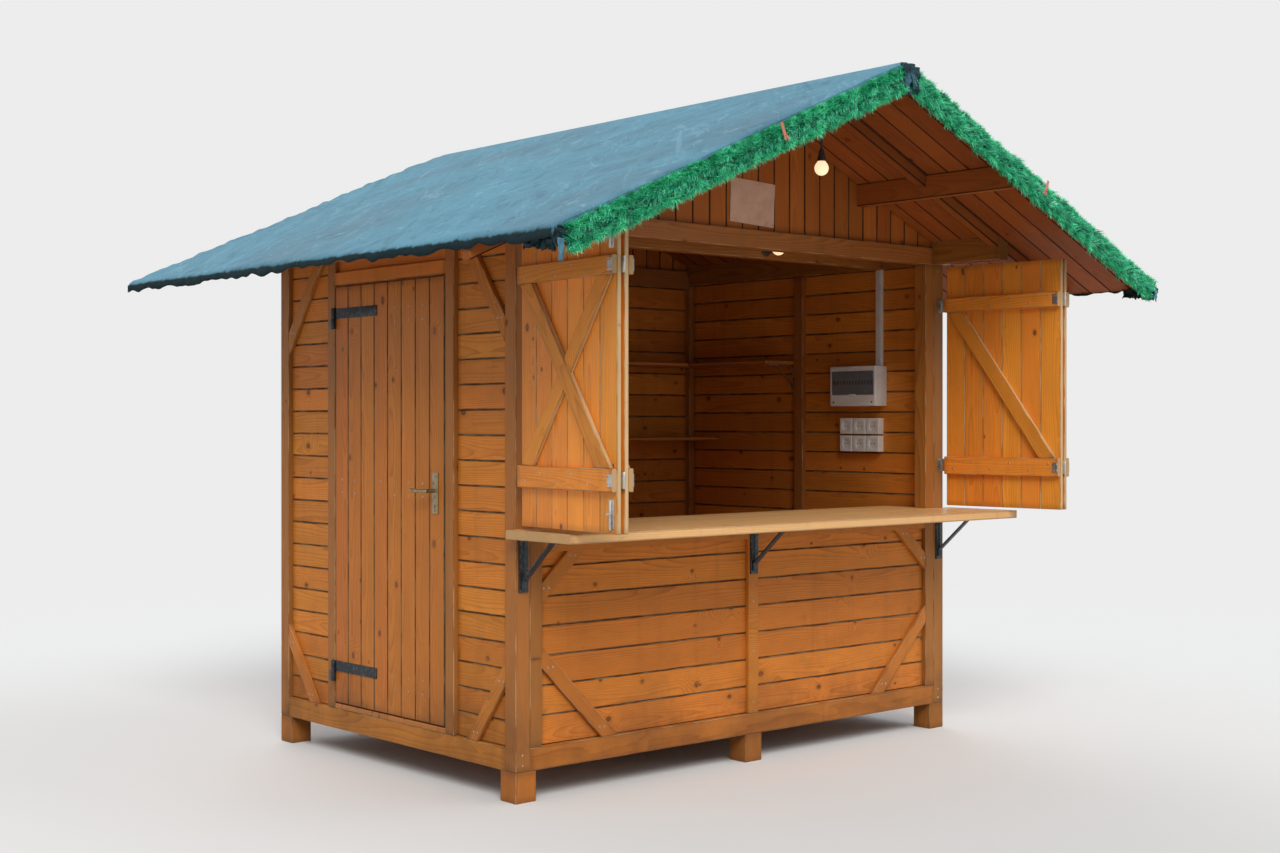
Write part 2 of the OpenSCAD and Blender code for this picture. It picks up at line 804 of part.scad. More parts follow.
// One lamp on a stem under the ridge purlin and two on the tie beam's front face
module lamps() {
  rose_t = 8;
  z_lamp = (z_plate + z_top) / 2;
  color(lamp_glow) {
    translate([0, y_front - gable_lamp_out, seat(0) - ridge_purlin_h - lamp_stem]) {
      cylinder(r = stem_r, h = lamp_stem);
      bulb();
    }
    for (x = [-left_lamp_x, right_lamp_x])
      translate([x, y_tie, z_lamp]) rotate([-90, 0, 0]) {
        translate([0, 0, -rose_t]) cylinder(r = bulb_r, h = rose_t);
        translate([0, 0, -rose_t / 2]) bulb();
      }
  }
}

// Switch box and sockets on the inside of the right wall, near the front
box_u = box_in - wall_d / 2;
module switch_box() {
  rim = 12;
  window_d = 12;
  window_foot = 0.28 * box_h;
  trunk_w = 40;
  trunk_d = 20;
  trunk_u = box_u - box_w / 2 + trunk_w;
  front = board_in + box_d;
  color(plastic_white) on_right() {
    difference() {
      timber([box_u - box_w / 2, board_in, box_z], [box_u + box_w / 2, front, box_z + box_h]);
      timber([box_u - box_w / 2 + rim, front - window_d, box_z + window_foot],
             [box_u + box_w / 2 - rim, front + window_d, box_z + box_h - 2 * rim]);
    }
    timber([trunk_u - trunk_w / 2, board_in, box_z + box_h],
           [trunk_u + trunk_w / 2, board_in + trunk_d, z_plate]);
  }
}
module sockets() {
  socket_d = 40;
  socket_gap = 8;
  face_in = 3;
  box_clear = 60;
  step_u = socket_w + socket_gap;
  top_z = box_z - box_clear - socket_w / 2;
  color(plastic_white) on_right()
    for (col = [-1:1], row = [0:1])
      translate([box_u + col * step_u, board_in, top_z - row * step_u])
        difference() {
          timber([-socket_w / 2, 0, -socket_w / 2], [socket_w / 2, socket_d, socket_w / 2]);
          translate([0, socket_d - face_in, 0]) rotate([-90, 0, 0])
            cylinder(r = 0.28 * socket_w, h = 2 * face_in);
        }
}

// Side door of upright boards on three ledges with two braces
door_w = doorway_w - 2 * door_gap;
door_t = door_board_t + door_ledge_t;
door_ledge_in = 20;
door_h = z_door_top - z_door;
door_ledge_z = [door_ledge_end, handle_z, door_h - door_ledge_end];
module door_brace(low, high) {
  cut = door_ledge_h / sin(atan2(high - low, door_w));
  shape = [[door_ledge_in, low], [door_ledge_in + cut, low],
           [door_w - door_ledge_in, high], [door_w - door_ledge_in - cut, high]];
  upright_plate(door_ledge_t, door_board_t) polygon(shape);
}
// The door's lower rear corner is the origin; X runs toward the front of the hut
module door_place() {
  on_left() translate([-door_w / 2, 0, z_door]) children();
}
module side_door() {
  half = door_ledge_h / 2;
  color(pine) door_place() {
    timber([0, 0, 0], [door_w, door_board_t, door_h]);
    for (z = door_ledge_z)
      timber([door_ledge_in, door_board_t, z - half], [door_w - door_ledge_in, door_t, z + half]);
    door_brace(door_ledge_z[0] + half, door_ledge_z[1] - half);
    door_brace(door_ledge_z[1] + half, door_ledge_z[2] - half);
  }
}

// Strap hinges of the door: pins on the hut, barrels and straps on the door
pin_clear = 0.1;
pin_proud = 4;
knuckle_gap = 1;
knuckle_r = 2 * pin_r;
pin_out = knuckle_r + knuckle_gap;
pin_u = -door_gap / 2;
barrel_h = hinge_h / 2;
hinge_strap_t = 4;
module at_door_hinges() {
  door_place() for (i = [0, 2]) translate([pin_u, -pin_out, door_ledge_z[i]]) children();
}
module hinge_pins() {
  plate_w = 46;
  color(steel_black) at_door_hinges() {
    translate([0, 0, -barrel_h]) cylinder(r = knuckle_r, h = barrel_h - knuckle_gap);
    translate([0, 0, -barrel_h]) cylinder(r = pin_r, h = 2 * barrel_h + pin_proud);
    timber([-plate_w, pin_out - hinge_strap_t, -barrel_h], [0, pin_out, -knuckle_gap]);
    timber([-knuckle_r, 0, -barrel_h], [0, pin_out, -knuckle_gap]);
  }
}
module door_hinges() {
  color(steel_black) at_door_hinges()
    difference() {
      union() {
        cylinder(r = knuckle_r, h = barrel_h);
        timber([0, pin_out - hinge_strap_t, 0], [hinge_strap_l, pin_out, barrel_h]);
      }
      translate([0, 0, -pin_r]) cylinder(r = pin_r + pin_clear, h = barrel_h + 2 * pin_r);
    }
}

// Lever handles on both faces of the door
module lever() {
  plate_t = 4;
  plate_w = 40;
  plate_up = 75;
  plate_down = 95;
  neck_r = 8;
  reach = 48;
  lever_l = 110;
  timber([-plate_w / 2, -plate_t, -plate_down], [plate_w / 2, 0, plate_up]);
  rotate([90, 0, 0]) cylinder(r = neck_r, h = reach);
  translate([0, -reach, 0]) rotate([0, -90, 0]) cylinder(r = neck_r, h = lever_l);
  translate([-lever_l, -reach, 0]) sphere(r = neck_r);
  translate([0, -reach, 0]) sphere(r = neck_r);
}
module door_handle() {
  handle_in = 60;
  color(steel_grey) door_place() translate([door_w - handle_in, 0, handle_z]) {
    lever();
    translate([0, door_t, 0]) mirror([0, 1, 0]) lever();
  }
}

feet();
side_sills();
end_sills();
floor();
corner_posts();
front_jamb_posts();
front_lower_wall();
front_trim();
rear_wall();
rear_trim();
right_wall();
right_trim();
left_wall_front();
left_wall_rear();
left_wall_head();
door_jambs();
left_trim();
wall_studs();
end_beams();
top_plates();
tie_beam();
front_gable();
rear_gable();
ridge_purlin();
side_purlins();
fly_rafters();
left_roof_boards();
right_roof_boards();
roof_felt();
garland();
outer_counter();
inner_counter();
counter_brackets();
shelves();
shelf_brackets();
left_shutters();
right_shutters();
shutter_hinges();
lamps();
switch_box();
sockets();
hinge_pins();
side_door();
door_hinges();
door_handle();
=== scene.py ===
import math
import random
from collections import namedtuple

import bmesh
import bpy
from mathutils import Matrix, Vector, noise


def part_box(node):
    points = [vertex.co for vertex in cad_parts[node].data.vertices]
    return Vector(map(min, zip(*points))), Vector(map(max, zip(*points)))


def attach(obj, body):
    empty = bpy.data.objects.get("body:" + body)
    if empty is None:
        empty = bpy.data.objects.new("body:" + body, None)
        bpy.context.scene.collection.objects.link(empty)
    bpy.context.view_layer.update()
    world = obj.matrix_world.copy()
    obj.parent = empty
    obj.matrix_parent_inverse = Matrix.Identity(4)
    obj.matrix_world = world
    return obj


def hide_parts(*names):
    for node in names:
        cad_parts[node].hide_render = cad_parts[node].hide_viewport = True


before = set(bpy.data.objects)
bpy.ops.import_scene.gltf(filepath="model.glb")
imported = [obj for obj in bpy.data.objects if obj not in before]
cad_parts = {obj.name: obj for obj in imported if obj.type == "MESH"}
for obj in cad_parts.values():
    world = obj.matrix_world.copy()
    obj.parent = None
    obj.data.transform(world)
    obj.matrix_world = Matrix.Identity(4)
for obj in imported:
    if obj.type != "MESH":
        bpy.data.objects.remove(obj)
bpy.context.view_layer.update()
chance = random.Random(26)

# Places of the frame in metres, read from the construction model
X_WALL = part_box("corner_posts")[1].x
Y_FRONT, Y_REAR = (corner.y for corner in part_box("corner_posts"))
Y_MID = (Y_FRONT + Y_REAR) / 2
Z_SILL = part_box("side_sills")[1].z
Z_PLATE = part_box("corner_posts")[1].z
Z_COUNTER_UNDER, Z_COUNTER = (corner.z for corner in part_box("outer_counter"))
X_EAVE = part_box("roof_felt")[1].x
Y_VERGE, Y_REAR_VERGE = (corner.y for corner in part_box("roof_felt"))
Z_EAVE_LOW, Z_RIDGE = (corner.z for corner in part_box("roof_felt"))

# Sizes in metres and opening angles that the part's source holds too
POST = 0.070
BATTEN_T, BATTEN_W = 0.020, 0.060
BOARD_T = 0.020
FELT_FOLD = 0.045
LEAF_GAP, FOLD_GAP = 0.006, 0.012
LEDGE_T = 0.022
LEAF_T = BOARD_T + LEDGE_T
SHUTTER_PIN_IN = 0.022
LEAF_W = (X_WALL - SHUTTER_PIN_IN - 3 * LEAF_GAP) / 2
LEAF_FOOT = Z_COUNTER + 0.015
LEAF_H = Z_PLATE - 0.014 - LEAF_FOOT
LEDGE_LOW_H, LEDGE_TOP_H = 0.085, 0.070
LEDGE_IN = 0.150
LEDGE_LOW_Z = LEDGE_IN + LEDGE_LOW_H / 2
LEDGE_TOP_Z = LEAF_H - LEDGE_IN - LEDGE_TOP_H / 2
LEAF_BRACE_IN, LEAF_BRACE_W = 0.018, 0.065
LEAF_BRACE_RUN = LEAF_W - 2 * LEAF_BRACE_IN
OPEN_ANGLE = {-1: math.radians(95), 1: math.radians(93)}
DOOR_W, DOOR_FOOT = 0.838, 0.238
DOOR_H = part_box("side_door")[1].z - DOOR_FOOT
DOOR_LEDGE_H, DOOR_LEDGE_IN, DOOR_LEDGE_END = 0.100, 0.020, 0.140
HANDLE_Z, HANDLE_IN, LEVER_PLATE_T = 0.960, 0.060, 0.004
DOOR_LEDGES = (DOOR_LEDGE_END, HANDLE_Z, DOOR_H - DOOR_LEDGE_END)
BRACKET_T, BRACKET_W = 0.006, 0.045
REAR_BATTEN_X = 2 * X_WALL / 6
SHELF_DEEP = 0.240

# Sizes of the looks in metres, and the angle in degrees below which fittings look smooth
V_JOINT = 0.0038
COUNTER_CHAMFER = 0.0022
SAW_CUT = 0.0003
FITTING_SMOOTH = 35

# Boards of a leaf and of the door, and how many of the door's its strap hinges cross
LEAF_BOARDS, DOOR_BOARDS, STRAP_BOARDS = 6, 8, 4

# Roof: the felt's height at the eaves, the slope and its length, the length without folds
EAVE_TOP = Z_EAVE_LOW + FELT_FOLD
SLOPE = math.atan2(Z_RIDGE - EAVE_TOP, X_EAVE)
SLOPE_L = X_EAVE / math.cos(SLOPE)
ROOF_L = Y_REAR_VERGE - Y_VERGE

UP, ACROSS, DEEP = (0, 0, 1), (1, 0, 0), (0, 1, 0)


def felt_top(x):
    """Height of the felt's upper face over a place across the roof."""
    return Z_RIDGE - abs(x) * math.tan(SLOPE)


def at(x, y, z):
    return Matrix.Translation((x, y, z))


# Turns that point the top of a turned piece at the front, the rear or the left
TO_FRONT = Matrix.Rotation(math.pi / 2, 4, "X")
TO_REAR = Matrix.Rotation(-math.pi / 2, 4, "X")
TO_LEFT = Matrix.Rotation(-math.pi / 2, 4, "Y")

# Walls: X runs to the right as seen from outside, Y inward from the outer face, Z up
HALF_TURN = Matrix.Rotation(math.pi, 4, "Z")
ON_FRONT = at(0, Y_FRONT, 0)
ON_REAR = at(0, Y_REAR, 0) @ HALF_TURN
ON_LEFT = at(-X_WALL, Y_MID, 0) @ Matrix.Rotation(-math.pi / 2, 4, "Z")
ON_RIGHT = at(X_WALL, Y_MID, 0) @ Matrix.Rotation(math.pi / 2, 4, "Z")
ON_DOOR = ON_LEFT @ at(-DOOR_W / 2, 0, DOOR_FOOT)
MIRRORED_X = Matrix.Scale(-1, 4, (1, 0, 0))
MIRRORED_Y = Matrix.Scale(-1, 4, (0, 1, 0))


# Shader helpers
class Value:
    """What a node gives out; arithmetic with it adds math nodes to its tree."""

    def __init__(self, socket):
        self.socket = socket
        self.tree = socket.id_data

    def __add__(self, other):
        return calc("ADD", self, other)

    def __radd__(self, other):
        return calc("ADD", other, self)

    def __sub__(self, other):
        return calc("SUBTRACT", self, other)

    def __mul__(self, other):
        return calc("MULTIPLY", self, other)

    def __truediv__(self, other):
        return calc("DIVIDE", self, other)


def values_of(node):
    """What a node gives out, by number and by name."""
    return {key: Value(out) for i, out in enumerate(node.outputs) for key in (i, out.name)}


def feed(inputs, values):
    """Sets inputs by name or number, or links them to other nodes; colours are given opaque."""
    for key, value in values.items():
        if isinstance(value, Value):
            value.tree.links.new(value.socket, inputs[key])
        elif inputs[key].type == "RGBA":
            inputs[key].default_value = (*value, 1)
        else:
            inputs[key].default_value = value


def add(tree, kind, values=None, **settings):
    """Adds a shader node with its settings and inputs, and gives what it puts out."""
    made = tree.nodes.new("ShaderNode" + kind)
    for name, value in settings.items():
        setattr(made, name, value)
    feed(made.inputs, values or {})
    return values_of(made)


def calc(operation, a, b=0.0):
    tree = a.tree if isinstance(a, Value) else b.tree
    return add(tree, "Math", {0: a, 1: b}, operation=operation)[0]


def clamped(value):
    """The same result, held between 0 and 1."""
    value.socket.node.use_clamp = True
    return value


def fade(value, start, end, from_value=0.0, to_value=1.0):
    """Runs smoothly from one value to the other while the input goes from start to end."""
    return add(value.tree, "MapRange", {
        0: value, 1: start, 2: end, 3: from_value, 4: to_value},
        interpolation_type="SMOOTHSTEP")[0]


def fade_out(value, start, end):
    return fade(value, start, end, 1.0, 0.0)


def mix(share, a, b):
    """The first colour, with that share of the second over it."""
    return add(share.tree, "Mix", {0: share, 6: a, 7: b}, data_type="RGBA")[2]


def stretched(place, scale, shift=(0, 0, 0)):
    """The place times a scale along each axis, with a shift."""
    return add(place.tree, "VectorMath", {0: place, 1: scale, 2: shift},
               operation="MULTIPLY_ADD" if isinstance(shift, Value) else "MULTIPLY")[0]


def cloudy(place, scale=1.0, detail=2.0, roughness=0.5, distortion=0.0):
    return add(place.tree, "TexNoise", {
        "Vector": place, "Scale": scale, "Detail": detail, "Roughness": roughness,
        "Distortion": distortion})[0]


def attribute(tree, name, output="Fac"):
    return add(tree, "Attribute", attribute_name=name)[output]


def object_place(tree):
    return add(tree, "TexCoord")["Object"]


def split_vector(vector):
    return add(vector.tree, "SeparateXYZ", {0: vector})


def split_colour(colour):
    return add(colour.tree, "SeparateColor", {0: colour})


def spaced(values):
    """Input names as keywords: an underscore stands for each space."""
    return {key.replace("_", " "): value for key, value in values.items()}


def shader_group(name, inputs, outputs):
    """An empty node group: its tree, the values it is given and the inputs of its result."""
    tree = bpy.data.node_groups.new(name, "ShaderNodeTree")
    for label, value in inputs.items():
        is_number = isinstance(value, float)
        kind = "NodeSocketFloat" if is_number else "NodeSocketColor"
        socket = tree.interface.new_socket(label, in_out="INPUT", socket_type=kind)
        socket.default_value = value if is_number else (*value, 1)
    for label, kind in outputs.items():
        tree.interface.new_socket(label, in_out="OUTPUT", socket_type="NodeSocket" + kind)
    given = values_of(tree.nodes.new("NodeGroupInput"))
    return tree, given, tree.nodes.new("NodeGroupOutput").inputs


def new_material(name, **constants):
    """A material, its tree and the inputs of its shader, with the constant values set."""
    made = bpy.data.materials.new(name)
    made.use_nodes = True
    shader = made.node_tree.nodes["Principled BSDF"].inputs
    feed(shader, spaced(constants))
    return made, made.node_tree, shader


def set_bump(shader, height, strength, distance):
    feed(shader, {"Normal": add(height.tree, "Bump", {
        "Height": height, "Strength": strength, "Distance": distance})[0]})


# Wood finishes
def build_pine_grain():
    """Growth rings, knots, fibres, dirty joints and worn arrises of one glazed board.

    Each board carries its own place (metres from its middle, X along the grain, Y across,
    Z through), its half sizes and a seed."""
    tree, given, result = shader_group("Pine grain", {
        "Early wood": (0.4, 0.15, 0.04), "Late wood": (0.25, 0.08, 0.02),
        "Knot": (0.115, 0.034, 0.010), "Joint dirt": (0.03, 0.015, 0.008),
        "Worn arris": (0.6, 0.4, 0.2), "Ring width": 0.006, "Ring strength": 0.6,
        "Knots": 0.4, "Board contrast": 0.3, "Glaze patches": 0.3, "Joints": 0.8, "Wear": 0.3,
    }, {"Color": "Color", "Roughness": "Float", "Height": "Float"})
    place = attribute(tree, "place", "Vector")
    xyz = split_vector(place)
    half = split_vector(attribute(tree, "half", "Vector"))
    draw = split_colour(add(tree, "TexWhiteNoise", {"W": attribute(tree, "seed")},
                            noise_dimensions="1D")["Color"])
    shift = stretched(add(tree, "CombineXYZ", {i: draw[i] for i in range(3)})[0],
                      (31.0, 17.0, 23.0))

    # Knots lie in cells along the board; the rings bend round them
    cells = add(tree, "TexVoronoi", {
        "Vector": stretched(place, (5.6, 7.4, 0.0), shift), "Scale": 1.0, "Randomness": 1.0},
        voronoi_dimensions="2D")
    cell = split_colour(cells["Color"])
    is_knot = calc("LESS_THAN", cell[0], given["Knots"])
    near = cells["Distance"] * (0.75 + cell[1] * 1.5)
    knot = is_knot * fade_out(near, 0.050, 0.080)
    halo = is_knot * fade_out(near, 0.05, 0.20)
    swell = is_knot * fade_out(near, 0.05, 0.50)
    ring_of_knot = is_knot * (fade(near, 0.035, 0.060) * fade_out(near, 0.065, 0.095))

    # Rings round a pith that lies beside or under the board and wanders along it
    wander = (cloudy(stretched(place, (0.9, 0.4, 0.4), shift), detail=1.0) - 0.5) * 0.085
    wobble = (cloudy(stretched(place, (3.5, 22.0, 22.0), shift)) - 0.5) * 0.007
    pith_y = xyz[1] + (draw[1] - 0.5) * 0.13
    pith_z = xyz[2] + wander + (0.035 + draw[2] * 0.07)
    radius = calc("SQRT", pith_y * pith_y + pith_z * pith_z) + (wobble + swell * 0.022)
    ring = calc("FRACT", radius / given["Ring width"])
    late = calc("POWER", ring, 2.6) * fade(ring, 1.0, 0.93)
    fibre = cloudy(stretched(place, (7.0, 330.0, 330.0), shift), detail=3.0)
    patches = cloudy(stretched(place, (3.4, 11.0, 11.0), shift), detail=5.0, roughness=0.66)

    depth = clamped(late * given["Ring strength"] + (fibre - 0.5) * 0.55)
    level = (draw[0] - 0.5) * given["Board contrast"] + (patches - 0.5) * given["Glaze patches"]
    colour = add(tree, "HueSaturation", {
        "Hue": 0.4955 + draw[2] * 0.009, "Value": 1.0 + level,
        "Color": mix(depth, given["Early wood"], given["Late wood"])})[0]

    # Dirt in the joints, darker ends and arrises worn back to bare wood
    end, side, through = (half[i] - calc("ABSOLUTE", xyz[i]) for i in range(3))
    uneven = (patches - 0.5) * 0.006
    joint = (given["Joints"] * fade_out(side - uneven, 0.0022, 0.0066)
             * fade_out(through, 0.003, 0.008))
    dark_end = fade(end + uneven, 0.0, 0.035, 0.30, 0.0)
    rubbed = cloudy(stretched(place, (9.0, 40.0, 40.0), shift), detail=3.0)
    worn = (fade_out(calc("MAXIMUM", side, through), 0.0015, 0.0055) * given["Wear"]
            * fade(rubbed, 0.42, 0.6))
    for share, tone in ((halo * 0.50, "Late wood"), (knot * 0.72, "Knot"),
                        (ring_of_knot * 0.55, "Joint dirt"), (joint, "Joint dirt"),
                        (dark_end, "Joint dirt"), (worn, "Worn arris")):
        colour = mix(share, colour, given[tone])

    feed(result, {"Color": colour, "Roughness": fibre * 0.18 + (0.40 + joint * 0.25),
                  "Height": late * 0.5 + (fibre * 0.7 - knot * 0.5)})
    return tree


def build_weathering():
    """Rain marks, splashed dirt near the ground and a damp foot, by height on the hut."""
    tree, given, result = shader_group("Weathering", {
        "Color": (0.4, 0.15, 0.04), "Grime": (0.05, 0.035, 0.022), "Rain": 0.1, "Splash": 0.5,
    }, {"Color": "Color", "Dirt": "Float"})
    place = object_place(tree)
    height = split_vector(place)[2]
    blots = cloudy(stretched(place, (5.0, 5.0, 4.0)), detail=5.0, roughness=0.62)
    runs = cloudy(stretched(place, (17.0, 17.0, 0.9)), detail=3.0)
    low = fade_out(height - blots * 0.42, -0.12, 0.30)
    splash = low * given["Splash"] * fade(blots, 0.30, 0.62, 0.35, 1.0)
    rain = fade(runs + blots * 0.35, 0.66, 0.95) * given["Rain"]
    dirt = clamped(calc("MAXIMUM", splash, rain))
    feed(result, {"Color": mix(dirt, given["Color"], given["Grime"]), "Dirt": dirt})
    return tree


def build_metal_wear():
    """Scuffs, dull blooms and small rust spots on painted or zinc-coated steel."""
    tree, given, result = shader_group("Metal wear", {
        "Coat": (0.5, 0.5, 0.5), "Bare": (0.6, 0.6, 0.6), "Rust": (0.16, 0.05, 0.015),
        "Scale": 60.0, "Scuffs": 0.4, "Rust amount": 0.3,
    }, {"Color": "Color", "Roughness": "Float", "Height": "Float"})
    place = object_place(tree)
    bloom = cloudy(place, given["Scale"], 4.0, 0.6)
    fine = cloudy(stretched(place, (900.0, 900.0, 260.0)))
    scuff = fade(bloom + fine * 0.25, 0.62, 0.80) * given["Scuffs"]
    spots = cloudy(stretched(place, (38.0, 38.0, 26.0)), detail=5.0, roughness=0.65)
    rust = fade(spots, 0.57, 0.70) * given["Rust amount"]
    feed(result, {
        "Color": mix(rust, mix(scuff, given["Coat"], given["Bare"]), given["Rust"]),
        "Roughness": 0.30 + bloom * 0.22 + rust * 0.4, "Height": fine + rust * 1.5})
    return tree


PINE_GRAIN = build_pine_grain()
WEATHERING = build_weathering()
METAL_WEAR = build_metal_wear()


def glazed_wood(name, early, late, bump=0.35, coat=0.0, gloss=0.32, rain=0.12, splash=0.5,
                **values):
    """Pine with a coloured glaze: grain, then weather, then a thin bump."""
    made, tree, shader = new_material(name, IOR=1.45, Specular_IOR_Level=gloss,
                                      Coat_Weight=coat, Coat_Roughness=0.24)
    grain = add(tree, "Group", {"Early wood": early, "Late wood": late, **spaced(values)},
                node_tree=PINE_GRAIN)
    weather = add(tree, "Group", {"Color": grain["Color"], "Rain": rain, "Splash": splash},
                  node_tree=WEATHERING)
    feed(shader, {"Base Color": weather["Color"],
                  "Roughness": grain["Roughness"] + weather["Dirt"] * 0.3})
    set_bump(shader, grain["Height"], bump, 0.0007)
    return made


WALL_PINE = glazed_wood(
    "Wall pine", (0.680, 0.228, 0.031), (0.400, 0.112, 0.014), gloss=0.24, Knots=0.30,
    Joints=0.9, Wear=0.45, Board_contrast=0.28, Glaze_patches=0.60, Ring_strength=0.75)
DOOR_PINE = glazed_wood(
    "Door pine", (0.590, 0.186, 0.024), (0.372, 0.097, 0.012), gloss=0.24, coat=0.1, Knots=0.28,
    Joints=0.95, Board_contrast=0.24, Glaze_patches=0.50, Ring_strength=0.75)
BATTEN_PINE = glazed_wood(
    "Batten pine", (0.560, 0.192, 0.028), (0.330, 0.096, 0.013), gloss=0.26, splash=0.38,
    Knots=0.20, Joints=0.35, Wear=0.6, Glaze_patches=0.45, Ring_strength=0.80)
FRAME_PINE = glazed_wood(
    "Frame pine", (0.415, 0.155, 0.031), (0.235, 0.074, 0.014),
    Knots=0.16, Joints=0.25, Wear=0.6, Glaze_patches=0.45, Ring_strength=0.85)
# Redder stain than the walls, and darker than them as painted shade under the overhang
SHADED_GABLE_PINE = glazed_wood(
    "Gable pine, stained, in painted shade", (0.500, 0.147, 0.026), (0.300, 0.080, 0.014), gloss=0.2, rain=0.1,
    Knots=0.20, Joints=1.0, Wear=0.1)
# The same pine as the walls, made darker as painted shade under the roof
SHADED_ROOF_PINE = glazed_wood(
    "Roof pine in painted shade", (0.380, 0.110, 0.027), (0.216, 0.056, 0.015), gloss=0.08, rain=0.1,
    Knot=(0.06, 0.02, 0.008), Knots=0.20, Joints=1.0, Wear=0.03)
SHUTTER_PINE = glazed_wood(
    "Shutter pine", (0.960, 0.334, 0.040), (0.660, 0.186, 0.022), coat=0.1,
    Knots=0.28, Joints=0.45, Wear=0.85, Glaze_patches=0.40, Ring_strength=0.70)
LEDGE_PINE = glazed_wood(
    "Ledge pine", (0.850, 0.300, 0.038), (0.560, 0.164, 0.022),
    Knots=0.24, Joints=0.35, Wear=0.85, Glaze_patches=0.45, Ring_strength=0.80)
# Pale pine on the leaves' side edges and the braces' sides: a painted highlight where edges catch
# the light
EDGE_HIGHLIGHT_PINE = glazed_wood(
    "Pine edge highlight", (0.760, 0.500, 0.250), (0.600, 0.340, 0.140), rain=0.25,
    Knots=0.10, Joints=0.2, Wear=0.5)
COUNTER_PINE = glazed_wood(
    "Counter pine", (0.840, 0.490, 0.200), (0.670, 0.330, 0.105), bump=0.2, coat=0.25,
    rain=0.08, Knot=(0.22, 0.08, 0.03), Knots=0.16, Joints=0.4, Wear=0.6, Board_contrast=0.16)
INSIDE_PINE = glazed_wood(
    "Inside pine", (0.620, 0.219, 0.040), (0.408, 0.119, 0.019), coat=0.15, rain=0.0,
    splash=0.0, Knots=0.22, Joints=0.5)


# Other finishes
def build_felt():
    """Mineral felt: mottled blue-green grey with pale creases; folds and torn flaps painted near
    black as shade.
    """
    made, tree, shader = new_material("Roofing felt", IOR=1.45, Specular_IOR_Level=0.10)
    place = object_place(tree)
    folded = attribute(tree, "fold")
    stain = cloudy(stretched(place, (1.3, 1.0, 1.3)), 1.0, 5.0, 0.62, 0.5)
    soft = cloudy(stretched(place, (6.0, 11.0, 6.0)), 1.0, 5.0, 0.62, 1.2)
    grit = cloudy(place, 560.0, 2.0, 0.7)

    # Scuffs run slanting up the slope and back, alike on both sides
    xyz = split_vector(place)
    out = calc("ABSOLUTE", xyz[0])
    slanted = add(tree, "CombineXYZ", {0: (xyz[1] - out) * 1.7, 1: (xyz[1] + out) * 7.5})[0]
    streak = cloudy(slanted, 1.0, 6.0, 0.66, 1.1)

    # Creases wander, and break off here and there
    drift = add(tree, "TexNoise", {"Vector": place, "Scale": 4.0, "Detail": 3.0})["Color"]
    bent = add(tree, "VectorMath", {
        0: stretched(place, (5.0, 7.5, 5.0)), 1: stretched(drift, (1.8, 1.8, 1.8))},
        operation="ADD")[0]
    crest = calc("ABSOLUTE", cloudy(bent, detail=1.0) - 0.5)
    broken = fade(cloudy(stretched(place, (6.0, 8.0, 6.0))), 0.50, 0.64)
    crease = fade_out(crest, 0.0, 0.030) * broken

    colour = mix(fade(stain, 0.34, 0.66), (0.078, 0.202, 0.278), (0.132, 0.318, 0.428))
    for share, tone in (
            (fade(soft, 0.50, 0.74, 0.0, 0.60), (0.052, 0.140, 0.194)),
            (fade(streak, 0.54, 0.70, 0.0, 0.40), (0.250, 0.465, 0.590)),
            (fade(streak, 0.45, 0.30, 0.0, 0.45), (0.050, 0.140, 0.192)),
            (crease * 0.45, (0.280, 0.490, 0.620)),
            (fade(grit, 0.52, 0.74, 0.0, 0.40), (0.195, 0.400, 0.520)),
            (fade(grit, 0.46, 0.30, 0.0, 0.45), (0.026, 0.060, 0.072)),
            # Painted shade: where the fold mark is high the felt goes near black; mark 2 then
            # gives the pale rear edge
            (fade(folded + (soft - 0.5) * 0.9, 0.30, 0.62), (0.016, 0.034, 0.040)),
            (fade(folded, 1.25, 1.55), (0.380, 0.400, 0.390))):
        colour = mix(share, colour, tone)
    feed(shader, {"Base Color": colour, "Roughness": fade(stain, 0.3, 0.7, 0.62, 0.82)})
    set_bump(shader, crease * 1.6 + streak * 2.4 + (soft * 2.2 + grit * 0.22), 0.7, 0.005)
    return made


def build_garland(name, deep, middle, frost_and_highlight):
    """Needles: painted shade at the twig, frost and painted highlight at the tips, a tone per
    sprig.
    """
    made, tree, shader = new_material(name, IOR=1.5)
    tip, tone = attribute(tree, "tip"), attribute(tree, "seed")
    # Painted shade: the deep colour darkens the needles towards the twig; the frost on lighter
    # sprigs' tips is also a painted highlight
    colour = mix(fade(tip, 0.0, 0.55), deep, middle)
    colour = mix(fade(tip, 0.45, 1.0) * fade(tone, 0.40, 0.95), colour, frost_and_highlight)
    colour = add(tree, "HueSaturation", {"Value": 0.45 + tone * 1.05, "Color": colour})[0]
    feed(shader, {"Base Color": colour, "Roughness": fade(tone, 0.0, 1.0, 0.55, 0.34)})
    return made


def worn_metal(name, coat, bare, metallic=1.0, **values):
    made, tree, shader = new_material(name, Metallic=metallic)
    wear = add(tree, "Group", {"Coat": coat, "Bare": bare, **spaced(values)},
               node_tree=METAL_WEAR)
    feed(shader, {"Base Color": wear["Color"], "Roughness": wear["Roughness"]})
    set_bump(shader, wear["Height"], 0.25, 0.0004)
    return made


def moulded_plastic(name, colour, shade, roughness=0.34):
    made, tree, shader = new_material(name, IOR=1.5)
    place = object_place(tree)
    haze = cloudy(place, 14.0, 4.0, 0.6)
    feed(shader, {"Base Color": mix(fade(haze, 0.35, 0.75), colour, shade),
                  "Roughness": fade(haze, 0.3, 0.8, roughness, roughness + 0.18)})
    set_bump(shader, cloudy(place, 1500.0), 0.12, 0.0002)
    return made


def build_smoked_window():
    made, tree, shader = new_material("Smoked window", IOR=1.49, Transmission_Weight=0.82)
    dust = cloudy(object_place(tree), 40.0, 4.0, 0.6)
    feed(shader, {
        "Base Color": mix(fade(dust, 0.4, 0.8), (0.42, 0.46, 0.50), (0.50, 0.52, 0.54)),
        "Roughness": fade(dust, 0.4, 0.8, 0.04, 0.16)})
    return made


